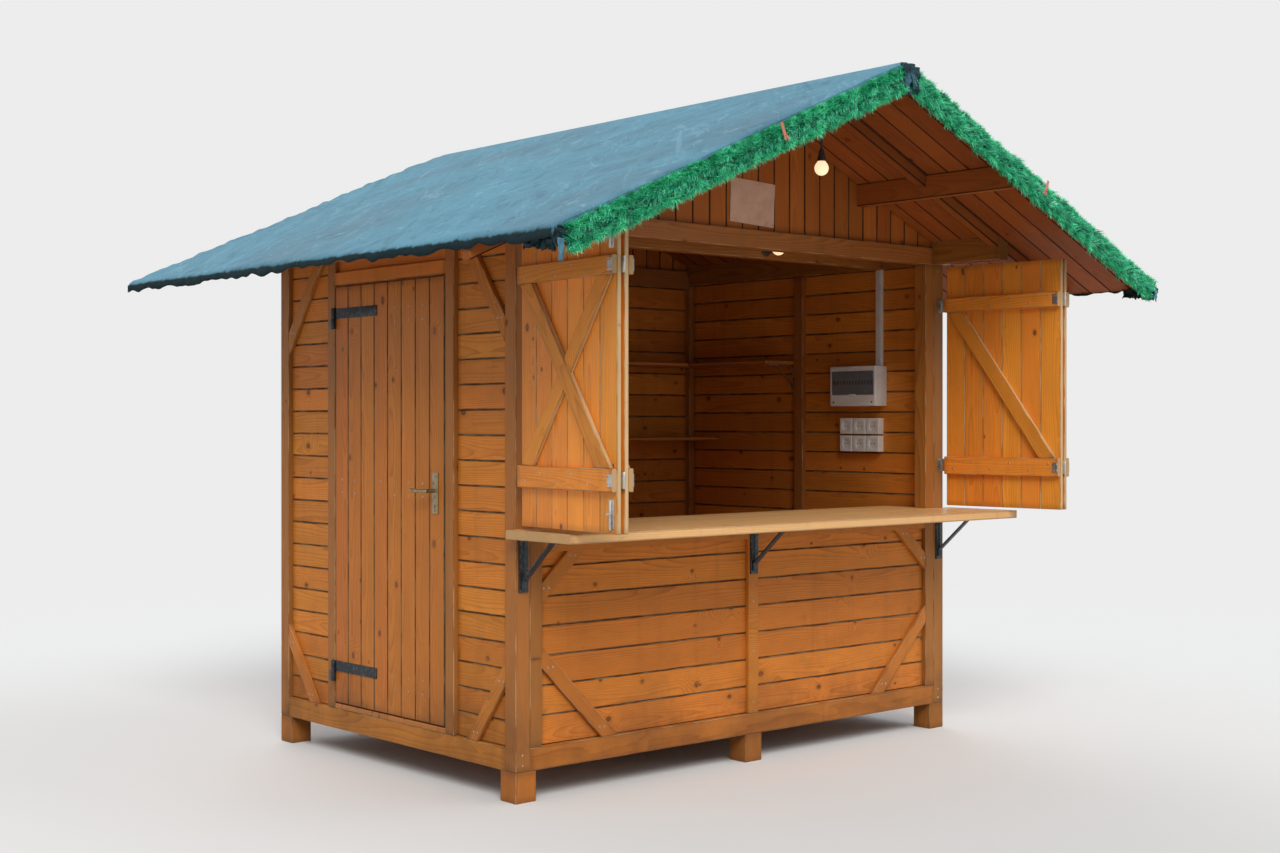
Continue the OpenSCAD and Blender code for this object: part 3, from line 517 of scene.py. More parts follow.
def build_lit_bulb():
    """Frosted glass that glows warm, a little unevenly."""
    made, tree, shader = new_material("Lit bulb", Roughness=0.25, Emission_Strength=1.1)
    swirl = cloudy(object_place(tree), 55.0, 3.0)
    feed(shader, {"Emission Color": mix(swirl, (1.0, 0.66, 0.38), (1.0, 0.74, 0.48)),
                  "Base Color": mix(swirl, (0.60, 0.48, 0.30), (0.66, 0.56, 0.38))})
    return made


FELT = build_felt()
NEEDLES = build_garland("Garland needles", (0.005, 0.140, 0.062), (0.018, 0.620, 0.270),
                        (0.340, 0.930, 0.660))
LONG_NEEDLES = build_garland("Garland long needles", (0.006, 0.160, 0.080),
                             (0.024, 0.570, 0.280), (0.360, 0.900, 0.680))
BRACKET_STEEL = worn_metal("Bracket steel", (0.030, 0.037, 0.043), (0.160, 0.165, 0.170),
                           metallic=0.55, Scuffs=0.45, Rust_amount=0.30)
ZINC_STEEL = worn_metal("Zinc steel", (0.520, 0.520, 0.500), (0.300, 0.290, 0.270),
                        Scuffs=0.6, Rust_amount=0.35)
DULL_BRASS = worn_metal("Dull brass", (0.330, 0.265, 0.160), (0.110, 0.095, 0.070),
                        Scuffs=0.75, Rust_amount=0.20)
# Near black with rust spots: painted shade in screw recesses and keyholes, with real rust
RUST_AND_RECESS_SHADE = worn_metal("Rust and painted recess shade", (0.035, 0.030, 0.026), (0.080, 0.075, 0.070),
                        metallic=0.4, Scuffs=0.3, Rust_amount=0.5)
WHITE_PLASTIC = moulded_plastic("White plastic", (0.800, 0.800, 0.775), (0.700, 0.690, 0.650))
# Black plastic of lamp holders, rockers and lid screws; also the sockets' holes, painted as shade
DARK_PLASTIC_AND_HOLE_SHADE = moulded_plastic("Dark plastic and painted hole shade", (0.022, 0.022, 0.024), (0.040, 0.038, 0.036), 0.4)
RED_PLASTIC = moulded_plastic("Red plastic", (0.420, 0.030, 0.020), (0.320, 0.020, 0.016))
BLUE_PLASTIC = moulded_plastic("Blue plastic", (0.030, 0.090, 0.360), (0.020, 0.070, 0.280))
PALE_BOARD = moulded_plastic("Pale plate", (0.860, 0.530, 0.370), (0.700, 0.420, 0.280), 0.6)
TIE_TAPE = moulded_plastic("Tie tape", (0.620, 0.230, 0.150), (0.500, 0.160, 0.100), 0.5)
SMOKED_WINDOW = build_smoked_window()
LIT_BULB = build_lit_bulb()


# Making pieces
def block(low, high):
    """A square-edged block between two opposite corners."""
    low, high = Vector(low), Vector(high)
    part = bmesh.new()
    bmesh.ops.create_cube(part, size=1, matrix=Matrix.Translation((low + high) / 2)
                          @ Matrix.Diagonal((*(high - low), 1)))
    return part


def plank(outline, start, thickness):
    """A flat piece with that outline in X and Z, its thickness running along +Y from start."""
    part = bmesh.new()
    face = part.faces.new([part.verts.new((x, start, z)) for x, z in outline])
    grown = bmesh.ops.extrude_face_region(part, geom=[face])["geom"]
    bmesh.ops.translate(part, vec=(0, thickness, 0), verts=[
        v for v in grown if isinstance(v, bmesh.types.BMVert)])
    bmesh.ops.recalc_face_normals(part, faces=part.faces)
    return part


def lathe(profile, steps=24):
    """A turned piece: (radius, height) points spun round Z, closed where the radius is 0."""
    part = bmesh.new()
    ring = [part.verts.new((r, 0, z)) for r, z in profile]
    lines = [part.edges.new(pair) for pair in zip(ring, ring[1:])]
    bmesh.ops.spin(part, geom=ring + lines, axis=(0, 0, 1), cent=(0, 0, 0), steps=steps,
                   angle=2 * math.pi, use_merge=True)
    bmesh.ops.remove_doubles(part, verts=part.verts, dist=1e-6)
    bmesh.ops.recalc_face_normals(part, faces=part.faces)
    return part


def placed(part, matrix, paint=None):
    """The part in its place and paint; a mirrored place turns its faces out again."""
    bmesh.ops.transform(part, matrix=matrix, verts=part.verts)
    if matrix.determinant() < 0:
        bmesh.ops.reverse_faces(part, faces=part.faces)
    return part if paint is None else painted(part, paint)


def painted(part, index):
    """The part with all its faces in the piece's material of that number."""
    for face in part.faces:
        face.material_index = index
    return part


def arris(part, width, segments=1):
    """Takes the sharp arrises off a closed part."""
    sharp = [e for e in part.edges if e.is_manifold and e.calc_face_angle(0) > 0.6]
    bmesh.ops.bevel(part, geom=sharp, offset=width, offset_type="OFFSET", affect="EDGES",
                    segments=segments, profile=0.5, material=-1, clamp_overlap=True)
    return part


def grained(part, along=None):
    """Gives a board its grain: its place from its middle, its half sizes and a seed."""
    if along is None:
        longest = max(part.edges, key=lambda e: e.calc_length())
        along = longest.verts[1].co - longest.verts[0].co
    along = Vector(along).normalized()
    broad = max((f for f in part.faces if abs(f.normal.dot(along)) < 0.1),
                key=lambda f: f.calc_area())
    through = broad.normal.copy()
    turn = Matrix((along, through.cross(along), through))
    local = [turn @ v.co for v in part.verts]
    low = Vector(min(p[i] for p in local) for i in range(3))
    high = Vector(max(p[i] for p in local) for i in range(3))
    layers = part.verts.layers
    place, half = layers.float_vector.new("place"), layers.float_vector.new("half")
    seed = layers.float.new("seed")
    value = chance.random() * 90
    for vert, point in zip(part.verts, local):
        vert[place] = point - (low + high) / 2
        vert[half] = (high - low) / 2
        vert[seed] = value
    return part


def board(part, along=None, chamfer=0.0028, segments=1):
    """A board or timber, finished: its arrises, then its grain."""
    return grained(arris(part, chamfer, segments), along)


def timber(part, along=None):
    """A planed piece with round arrises, for the ledges and braces of leaves and door."""
    return board(part, along, 0.004, 2)


def upright_boards(count, width, thickness, height, shifts, chamfer):
    """Boards side by side, each set a little in or out of line."""
    step = width / count
    return [board(block((i * step, chance.uniform(*shifts), 0),
                        ((i + 1) * step, thickness, height)), UP, chamfer)
            for i in range(count)]


def brace(near, far, near_z, far_z, width, run, thickness):
    """A diagonal between two ledges, cut level at both ends, on the boards' inner face."""
    cut = math.copysign(width / math.sin(math.atan2(abs(far_z - near_z), run)), far - near)
    outline = [(near, near_z), (near + cut, near_z), (far, far_z), (far - cut, far_z)]
    return timber(plank(outline, BOARD_T, thickness))


def mesh_of(part, name):
    """A mesh made from the part, which is used up."""
    mesh = bpy.data.meshes.new(name)
    part.to_mesh(mesh)
    part.free()
    return mesh


def in_scene(name, data):
    made = bpy.data.objects.new(name, data)
    bpy.context.scene.collection.objects.link(made)
    return made


def piece(name, parts, materials, replaces=(), body="hut", smooth=None):
    """Joins the parts into one named piece of the hut."""
    whole = bmesh.new()
    for part in parts:
        carried = mesh_of(part, "part")
        whole.from_mesh(carried)
        bpy.data.meshes.remove(carried)
    mesh = mesh_of(whole, name)
    if smooth:
        mesh.shade_smooth()
        mesh.set_sharp_from_angle(angle=math.radians(smooth))
    for material in materials:
        mesh.materials.append(material)
    made = in_scene(name, mesh)
    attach(made, body)
    if replaces:
        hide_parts(*replaces)
    return made


def chip(low, high, width, paint, segments=1):
    """A small painted block with its arrises taken off."""
    return painted(arris(block(low, high), width, segments), paint)


def stud(place, paint, top, shoulder, inner, outer, steps=12):
    """A small round head on the place's XY plane: two heights, then two radii."""
    return placed(lathe([(0, top), (inner, shoulder), (outer, 0), (0, -0.001)], steps),
                  place, paint)


def screws_on(wall, points, depth=0.0, head_paint=0, slit_paint=1):
    """Countersunk cross-head screws at (u, z) points of a wall, that deep in its face."""
    parts = []
    for u, z in points:
        place = wall @ at(u, depth, z) @ Matrix.Rotation(chance.uniform(0, 1.5), 4, "Y")
        head = lathe([(0, 0.0012), (0.0034, 0.0009), (0.0046, -0.0004), (0, -0.0008)], 10)
        parts.append(placed(head, place @ TO_FRONT, head_paint))
        # Each cross recess is a dark block in the head: painted shade
        for long, short in ((0.0026, 0.0006), (0.0006, 0.0026)):
            slit = block((-long, -0.0014, -short), (long, -0.0008, short))
            parts.append(placed(slit, place, slit_paint))
    return parts


# Boards and timbers from the construction model
def solids_of(node):
    """The node's solids, each with its flat faces whole."""
    whole = bmesh.new()
    whole.from_mesh(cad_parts[node].data)
    for layers in (whole.verts.layers.float_vector, whole.loops.layers.uv):
        for layer in list(layers.values()):
            layers.remove(layer)
    bmesh.ops.remove_doubles(whole, verts=whole.verts, dist=2e-5)
    bmesh.ops.dissolve_limit(whole, angle_limit=0.01, verts=whole.verts, edges=whole.edges)
    painted(whole, 0)
    whole.verts.index_update()
    left, solids = {v.index for v in whole.verts}, []
    whole.verts.ensure_lookup_table()
    while left:
        island, queue = set(), [left.pop()]
        while queue:
            index = queue.pop()
            island.add(index)
            for edge in whole.verts[index].link_edges:
                other = edge.other_vert(whole.verts[index]).index
                if other in left:
                    left.discard(other)
                    queue.append(other)
        solid = whole.copy()
        solid.verts.index_update()
        bmesh.ops.delete(solid, context="VERTS", geom=[
            v for v in solid.verts if v.index not in island])
        solids.append(solid)
    whole.free()
    return solids


def reach(part, axis):
    """How far a part reaches along an axis, both ways."""
    axis = Vector(axis)
    values = [v.co.dot(axis) for v in part.verts]
    return min(values), max(values)


def slice_of(solid, axis, low, high):
    """The part of a solid between two places along an axis, with its cut ends closed."""
    part, axis = solid.copy(), Vector(axis)
    for place, normal in ((low, -axis), (high, axis)):
        bmesh.ops.bisect_plane(part, geom=part.verts[:] + part.edges[:] + part.faces[:],
                               plane_co=axis * place, plane_no=normal, clear_outer=True,
                               dist=1e-6)
        bmesh.ops.holes_fill(part, edges=[e for e in part.edges if e.is_boundary], sides=0)
    return part


def sawn(solid, axis, width, along, chamfer=0.0028, play=0.0006):
    """A panel sawn into boards of about that width, each a little in or out of line."""
    low, high = reach(solid, axis)
    count = max(1, round((high - low) / width))
    step = (high - low) / count
    cuts = [low] + [low + step * i for i in range(1, count)] + [high]
    through = Vector(axis).cross(Vector(along)).normalized()
    boards = []
    for near, far in zip(cuts, cuts[1:]):
        part = slice_of(solid, axis, near, far)
        bmesh.ops.translate(part, verts=part.verts, vec=through * chance.uniform(-play, play))
        boards.append(board(part, along, chamfer))
    solid.free()
    return boards


def boards_of(node, axis, width, along, **how):
    """The node's panels, sawn across an axis into boards that run along another."""
    return [b for solid in solids_of(node) for b in sawn(solid, axis, width, along, **how)]


def timbers_of(*nodes):
    return [board(solid, None, 0.0035, 2) for node in nodes for solid in solids_of(node)]


def boarded(name, node, axis, width, along, material, slot, **how):
    piece(name, boards_of(node, axis, width, along, **how), [material], [node])


def framed(name, material, slot, *nodes):
    piece(name, timbers_of(*nodes), [material], nodes)


# Walls, gables and floor
for name, node, width, along in (("front_wall_boards", "front_lower_wall", 0.117, ACROSS),
                                 ("rear_wall_boards", "rear_wall", 0.118, ACROSS),
                                 ("right_wall_boards", "right_wall", 0.103, DEEP)):
    boarded(name, node, UP, width, along, WALL_PINE, "pine_boards", chamfer=V_JOINT)
left_wall = [b for node in ("left_wall_front", "left_wall_rear")
             for b in boards_of(node, UP, 0.103, DEEP, chamfer=V_JOINT)]
piece("left_wall_boards", left_wall + timbers_of("left_wall_head"), [WALL_PINE],
      ["left_wall_front", "left_wall_rear", "left_wall_head"])
for node in ("front_gable", "rear_gable"):
    boarded(node + "_boards", node, ACROSS, 0.097, UP, SHADED_GABLE_PINE, "gable_boards")
boarded("floor_boards", "floor", DEEP, 0.122, ACROSS, INSIDE_PINE, "pine_boards", play=0.0)

# Frame
framed("bottom_timbers", BATTEN_PINE, "pine_frame", "feet", "side_sills", "end_sills")
framed("posts", FRAME_PINE, "pine_frame",
       "corner_posts", "front_jamb_posts", "door_jambs", "wall_studs")
framed("outer_battens", BATTEN_PINE, "pine_frame",
       "front_trim", "rear_trim", "right_trim", "left_trim")
framed("wall_beams", FRAME_PINE, "pine_frame", "end_beams", "top_plates", "tie_beam")
framed("roof_timbers", SHADED_ROOF_PINE, "roof_wood", "ridge_purlin", "side_purlins", "fly_rafters")

# Roof boards and counters
for side, name in ((-1, "left_roof_"), (1, "right_roof_")):
    down = (side * math.cos(SLOPE), 0, -math.sin(SLOPE))
    boarded(name + "planks", name + "boards", DEEP, 0.114, down, SHADED_ROOF_PINE, "roof_wood",
            play=0.0)
for node, width, play in (("outer_counter", 0.134, 0.0004), ("inner_counter", 0.124, 0.0)):
    boarded(node + "_boards", node, DEEP, width, ACROSS, COUNTER_PINE, "counter_wood",
            play=play, chamfer=COUNTER_CHAMFER)


def build_shelves():
    """Two boards to each shelf; the upper shelf's short arm runs along the right wall."""
    parts = []
    for solid in solids_of("shelves"):
        near, far = reach(solid, DEEP)
        front_edge = far - SHELF_DEEP
        main = slice_of(solid, DEEP, front_edge + SAW_CUT, far)
        parts += sawn(main, DEEP, SHELF_DEEP / 2, ACROSS, play=0.0003)
        if near < front_edge - 0.01:
            arm = slice_of(solid, DEEP, near, front_edge - SAW_CUT)
            arm_width = reach(solid, ACROSS)[1] - reach(arm, ACROSS)[0]
            parts += sawn(arm, ACROSS, arm_width / 2, DEEP, play=0.0003)
        solid.free()
    piece("shelf_boards", parts, [INSIDE_PINE], ["shelves"])


build_shelves()

# Shutters, whose materials after the boards' own are these by number
EDGE_HIGHLIGHT, ZINC, RECESS_SHADE, LEDGE = range(1, 5)
LEAF_MATERIALS = [SHUTTER_PINE, EDGE_HIGHLIGHT_PINE, ZINC_STEEL, RUST_AND_RECESS_SHADE, LEDGE_PINE]
LEAF_STEP = LEAF_W / LEAF_BOARDS
PLATE_HALF_H, PLATE_OUT = 0.023, 0.0018
THIN_BRACE_T = LEDGE_T - 0.006


def highlighted_sides(part):
    """Paints the faces that look sideways at either edge of a leaf pale, as a painted highlight.
    """
    for face in part.faces:
        x = face.calc_center_median().x
        if abs(face.normal.x) > 0.7 and (x < 0.001 or x > LEAF_W - 0.001):
            face.material_index = EDGE_HIGHLIGHT
    return part


def leaf_ledge(z, height):
    """A ledge with its screws, and the zinc plate where the two leaves are hinged together."""
    low, high = z - height / 2, z + height / 2
    made = timber(block((0, BOARD_T, low), (LEAF_W, LEAF_T, high)), ACROSS)
    facing = at(0, LEAF_T, z) @ HALF_TURN
    spots = [(-(i + 0.5) * LEAF_STEP, (0.016 if i % 2 else -0.016)) for i in range(LEAF_BOARDS)]
    parts = [highlighted_sides(painted(made, LEDGE))] + screws_on(facing, spots, 0, ZINC, RECESS_SHADE)
    parts.append(chip((LEAF_W - 0.030, LEAF_T - 0.0004, z - PLATE_HALF_H),
                      (LEAF_W - 0.001, LEAF_T + PLATE_OUT, z + PLATE_HALF_H), 0.0007, ZINC))
    spots = [(-LEAF_W + x, off) for x in (0.009, 0.022) for off in (-0.014, 0.014)]
    return parts + screws_on(facing, spots, -PLATE_OUT, ZINC, RECESS_SHADE)


def leaf_brace(near, far, thickness):
    """A brace from the upper ledge at one side to the lower ledge at the other."""
    high, low = LEDGE_TOP_Z - LEDGE_TOP_H / 2, LEDGE_LOW_Z + LEDGE_LOW_H / 2
    made = painted(brace(near, far, high, low, LEAF_BRACE_W, LEAF_BRACE_RUN, thickness), LEDGE)
    # The brace's long side faces get the painted edge highlight
    for face in made.faces:
        if abs(face.normal.y) < 0.1 and abs(face.normal.x) > 0.7:
            face.material_index = EDGE_HIGHLIGHT
    return made


def shutter_leaf(brace_count):
    """One leaf of upright boards on two ledges; the second brace leans back and is thinner."""
    boards = upright_boards(LEAF_BOARDS, LEAF_W, BOARD_T, LEAF_H, (-0.0004, 0.0004), 0.0026)
    parts = [highlighted_sides(made) for made in boards]
    parts += leaf_ledge(LEDGE_LOW_Z, LEDGE_LOW_H) + leaf_ledge(LEDGE_TOP_Z, LEDGE_TOP_H)
    parts.append(leaf_brace(LEAF_BRACE_IN, LEAF_W - LEAF_BRACE_IN, LEDGE_T))
    if brace_count > 1:
        parts.append(leaf_brace(LEAF_W - LEAF_BRACE_IN, LEAF_BRACE_IN, THIN_BRACE_T))
    return parts


def shutter_pair(side, name, outer_braces):
    """An open pair: the inner leaf hangs on the post and the outer one is folded onto it."""
    mirror = MIRRORED_X if side > 0 else Matrix.Identity(4)
    pin = at(-X_WALL + SHUTTER_PIN_IN, Y_FRONT - LEAF_T - LEAF_GAP, LEAF_FOOT)
    start = mirror @ pin @ Matrix.Rotation(-OPEN_ANGLE[side], 4, "Z") @ at(LEAF_GAP, 0, 0)
    folded = start @ at(0, -FOLD_GAP, 0) @ MIRRORED_Y
    parts = [placed(p, start) for p in shutter_leaf(1)]
    parts += [placed(p, folded) for p in shutter_leaf(outer_braces)]
    piece(name + "_leaves", parts, LEAF_MATERIALS, [name + "_shutters"])


shutter_pair(-1, "left", 2)
shutter_pair(1, "right", 1)


# Side door
def build_door():
    """Upright boards on three ledges with a brace between each two, and their screws."""
    parts = upright_boards(DOOR_BOARDS, DOOR_W, BOARD_T, DOOR_H, (0, 0.0005), 0.003)
    spots = []
    step, half = DOOR_W / DOOR_BOARDS, DOOR_LEDGE_H / 2
    near, far = DOOR_LEDGE_IN, DOOR_W - DOOR_LEDGE_IN
    for z in DOOR_LEDGES:
        parts.append(timber(block((near, BOARD_T, z - half), (far, LEAF_T, z + half)), ACROSS))
        first = 0 if z == HANDLE_Z else STRAP_BOARDS
        spots += [((i + 0.5) * step, z + off) for i in range(first, DOOR_BOARDS - 1)
                  for off in (-0.028, 0.028)]
    for low, high in zip(DOOR_LEDGES, DOOR_LEDGES[1:]):
        parts.append(brace(near, far, low + half, high - half, DOOR_LEDGE_H, DOOR_W, LEDGE_T))
    parts += screws_on(Matrix.Identity(4), spots, 0.0004, 1, 2)
    piece("door_leaf", [placed(p, ON_DOOR) for p in parts],
          [DOOR_PINE, ZINC_STEEL, RUST_AND_RECESS_SHADE], ["side_door"], body="door")


build_door()


# Roofing felt

# Torn flaps at a front corner: how far in from the eave, behind the verge and below the
# corner, then width, height, seed, painted shade, the width left at the foot and the turn
CORNER_FLAPS = (
    (0.016, 0.030, 0.012, 0.072, 0.062, 0, 0.95, 0.8, 90),
    (0.020, 0.066, 0.012, 0.080, 0.056, 7, 0.95, 0.8, 90),
    (0.016, 0.120, 0.012, 0.090, 0.050, 14, 0.95, 0.8, 90),
    (0.020, 0.018, 0.012, 0.050, 0.066, 21, 0.95, 0.8, 90),
    (0.030, -0.010, 0.006, 0.060, 0.060, 40, 0.85, 0.8, 0),
    (0.052, -0.016, -0.004, 0.056, 0.046, 45, 0.85, 0.8, 0),
)
# Flaps under the ridge, over the gap between the garlands: across, in front, width, height
RIDGE_FLAPS = ((0.0, 0.020, 0.086, 0.120), (-0.020, 0.030, 0.060, 0.090),
               (0.024, 0.034, 0.058, 0.100))


def held(value, low=0.0, high=1.0):
    return max(low, min(high, value))


def crumple(point, scale, seed):
    """Smooth noise at a place, about -1 to 1."""
    return noise.noise(Vector((point[0] * scale + seed, point[1] * scale, seed * 3.1)))


def wrinkle(u, v, scale, seed, width):
    """A long wandering fold: 1 along its crest, 0 beside it."""
    bent = (u + 0.30 * crumple((u, v), 1.9, seed), v + 0.30 * crumple((v, u), 1.9, seed + 5))
    return max(0.0, 1 - abs(crumple(bent, scale, seed)) / width)


def torn_flap(width, height, seed, painted_shade, foot):
    """A torn scrap of felt that hangs from the origin in the XZ plane, crumpled, ragged and
    painted in shade.
    """
    part = bmesh.new()
    bmesh.ops.create_grid(part, x_segments=8, y_segments=12, size=0.5)
    fold = part.verts.layers.float.new("fold")
    for vert in part.verts:
        u, v = vert.co.x, 0.5 - vert.co.y
        taper = 1 - (1 - foot) * v * (0.75 + 0.5 * crumple((u, v), 2.0, seed + 2))
        sway = 0.18 * v * crumple((v, 0), 1.6, seed + 4)
        ragged = 1 + 0.22 * crumple((u * 3, 0), 2.2, seed + 6) * v
        depth = 0.30 * width * crumple((u, v), 2.4, seed) + 0.10 * width * crumple(
            (u, v), 6.0, seed + 1)
        vert.co = ((u * taper + sway) * width, depth, -v * ragged * height)
        # The fold mark carries the flap's painted shade
        vert[fold] = painted_shade
    return part


def torn_flaps():
    """The flaps at both front corners and under the ridge, none wider than the roof."""
    flaps = []
    for side, seed, tail_w, tail_h in ((-1, 61, 0.030, 0.078), (1, 83, 0.022, 0.046)):
        hanging = (0.026, -0.022, 0.040, tail_w, tail_h, 90, 0.12, 0.5, 0)
        for inward, back, below, width, height, more, painted_shade, foot, turn in (*CORNER_FLAPS, hanging):
            place = at(side * (X_EAVE - inward), Y_VERGE + back, EAVE_TOP - below)
            turned = place @ Matrix.Rotation(math.radians(turn), 4, "Z")
            flaps.append(placed(torn_flap(width, height, seed + more, painted_shade, foot), turned))
    for i, (x, front, width, height) in enumerate(RIDGE_FLAPS):
        place = at(x, Y_VERGE - front, Z_RIDGE - 0.012 - abs(x) * 0.5)
        flaps.append(placed(torn_flap(width, height, 140 + 9 * i, 0.62, 0.45), place))
    inside = X_EAVE - 0.0035
    for flap in flaps:
        for vert in flap.verts:
            vert.co.x = held(vert.co.x, -inside, inside)
    return flaps


def felt_waves(u, v, run, side):
    """Height of the broad waves, the wandering wrinkles and a lap half way down the slope."""
    wave = 0.0050 + 0.0050 * crumple((u, v), 1.7, side * 5) + 0.0030 * crumple(
        (u, v), 4.6, side * 9)
    wave += 0.0042 * wrinkle(u, v, 1.5, side * 3 + 11, 0.06)
    wave += 0.0026 * wrinkle(v, u, 3.4, side * 7 + 31, 0.12)
    lap = 0.47 * SLOPE_L + 0.012 * crumple((v, side), 1.7, 2)
    wave += 0.0030 * held((lap - run) / 0.004)
    return max(0.0, wave)


def felt_point(u, v):
    """Where a point of the flat felt lies on the roof, and its mark as folded or torn.

    U runs across the roof and V along it, both from its middle. The mark sets painted shade:
    1 on the folds, less along the eave's top and in the bunched rear verge; 2 marks
    the pale lower edge of the rear verge."""
    side = 1 if u > 0 else -1
    run = min(abs(u), SLOPE_L)
    fold_u, fold_v = max(0.0, abs(u) - SLOPE_L), max(0.0, abs(v) - ROOF_L / 2)
    to_eave, to_verge = SLOPE_L - run, ROOF_L / 2 - abs(v)
    ragged = 0.78 + 0.40 * crumple((u, v), 4.5, 3 + side) + 0.34 * crumple((u, v), 17.0, 7)
    drop = max(fold_u, fold_v) * held(ragged, 0.30)
    calm = min(1.0, run / 0.16) * held(to_eave / 0.03)
    calm *= 0.35 + 0.65 * held(to_verge / 0.06)

    # Loose, crumpled ends of the eaves towards the front corners, and the rear verge
    loose = max(0.0, 1 - to_eave / 0.16) * max(0.0, 1 - max(0.0, v + ROOF_L / 2) / 0.55)
    bunched = max(0.0, 1 - to_verge / 0.13) if v > 0 and not fold_v else 0.0
    bunched *= min(1.0, run / 0.16) * min(1.0, to_eave / 0.05)
    rumple = 0.010 * loose * max(0.0, crumple((run, v), 9.0, 40 + side))
    rumple += 0.014 * bunched * max(0.0, 0.25 + crumple((run * 1.6, v * 0.8), 11.0, 50 + side))
    x = run * math.cos(SLOPE)
    z = felt_top(x) - 0.0014 + felt_waves(u, v, run, side) * calm - drop + rumple

    # The fold lies against the boards' ends and curls a little below them
    curl = held((fold_u - 0.026) / 0.016)
    inward = 0.0004 * min(1.0, fold_u / 0.01) + 0.010 * curl * abs(crumple((u, v), 9.0, 21))
    x = min(x, X_EAVE - 0.0010) - inward
    flare = 0.0012 + 0.0016 * abs(crumple((u, v), 12.0, 22)) * min(1.0, fold_v / 0.02)
    y = held(v, -ROOF_L / 2 + flare, ROOF_L / 2 - flare)

    # Painted shade on the folds, and a little along the eave's top and in the bunched rear verge
    mark = min(1.0, fold_u / 0.016) if fold_u else max(0.0, 0.30 - to_eave * 6)
    if v > 0 and fold_v:
        mark = 2.0 if fold_v > 0.9 * FELT_FOLD else max(mark, 0.55)
    elif v > 0:
        mark = max(mark, 0.34 * bunched)
    return (side * x, y + (Y_VERGE + Y_REAR_VERGE) / 2, z), mark


def build_felt_sheet():
    """One sheet over both slopes, folded down at the eaves and verges, and its torn flaps."""
    part = bmesh.new()
    fold = part.verts.layers.float.new("fold")
    bmesh.ops.create_grid(part, x_segments=220, y_segments=176, size=1)
    bmesh.ops.scale(part, vec=(SLOPE_L + FELT_FOLD, ROOF_L / 2 + FELT_FOLD, 1),
                    verts=part.verts)
    corners = [f for f in part.faces if abs(f.calc_center_median().x) > SLOPE_L + 0.002
               and abs(f.calc_center_median().y) > ROOF_L / 2 + 0.002]
    bmesh.ops.delete(part, geom=corners, context="FACES")
    for vert in part.verts:
        vert.co, vert[fold] = felt_point(vert.co.x, vert.co.y)
    made = piece("felt_sheet", [part] + torn_flaps(), [FELT], ["roof_felt"],
                 smooth=50)
    thick = made.modifiers.new("Thickness", "SOLIDIFY")
    thick.thickness = 0.0022
    thick.offset = -1


build_felt_sheet()

# Garland

# Its layers: the number of sprigs, their needles, length, aim, spread, half twig, width and
# paint, then the middle and scatter of their place across the garland
Layer = namedtuple("Layer", "sprigs needles length aim spread twig width paint middle scatter")
LAYERS = [Layer(*row) for row in (
    (430, 22, 0.027, (0.10, -0.60, 0.35), (0.75, 0.40, 0.75), 0.016, 0.0034, 0, -0.032, 0.013),
    (230, 22, 0.026, (0.10, -0.60, -0.20), (0.75, 0.40, 0.70), 0.016, 0.0034, 0, -0.090, 0.011),
    (210, 12, 0.036, (0.35, -0.35, -0.75), (0.50, 0.30, 0.25), 0.014, 0.0030, 0, -0.094, 0.005),
    (190, 13, 0.044, (0.62, -0.30, 0.62), (0.22, 0.22, 0.22), 0.020, 0.0036, 1, -0.060, 0.022),
    (190, 13, 0.044, (0.62, -0.30, -0.62), (0.22, 0.22, 0.22), 0.020, 0.0036, 1, -0.060, 0.022),
    (170, 12, 0.040, (0.85, -0.40, 0.00), (0.15, 0.25, 0.40), 0.016, 0.0034, 1, -0.060, 0.022),
)]
# Tones of the sprigs, then how far a needle's tone and the pick of a sprig stray
TONES, TONE_PLAY, PICK_PLAY = 10, 0.20, 2.5
# Where the sprigs begin below the ridge, and how much shorter than the slope they run
RUN_START, RUN_SPARE = 0.048, 0.090
ACROSS_LIMITS = (-0.102, -0.018)
BAND_SCALE, BAND_CONTRAST = 24, 7
# How far out the sprigs stand, by their paint, and the paint of the ties
SPRIG_OUT = {0: (0.004, 0.022), 1: (0.014, 0.026)}
TAPE = 2


def make_sprig(layer, tone):
    """Needles, each a thin spike, that fan out from a short twig along X, about that light."""
    part = bmesh.new()
    tip, seed = part.verts.layers.float.new("tip"), part.verts.layers.float.new("seed")
    for _ in range(layer.needles):
        root = Vector((chance.uniform(-layer.twig, layer.twig), chance.uniform(-0.004, 0.004),
                       chance.uniform(-0.005, 0.005)))
        direction = Vector([a + chance.uniform(-s, s)
                            for a, s in zip(layer.aim, layer.spread)]).normalized()
        length = layer.length * chance.uniform(0.6, 1.0)
        own_tone = held(tone + chance.uniform(-TONE_PLAY, TONE_PLAY))
        turn = direction.to_track_quat("Z", "Y").to_matrix().to_4x4()
        spike = bmesh.ops.create_cone(
            part, cap_ends=True, segments=3, radius1=layer.width / 2, radius2=0, depth=length,
            matrix=Matrix.Translation(root + direction * length / 2) @ turn)["verts"]
        for vert in spike:
            vert[tip] = 1.0 if (vert.co - root).dot(direction) > length / 2 else 0.0
            vert[seed] = own_tone
    return mesh_of(painted(part, layer.paint), "sprig")


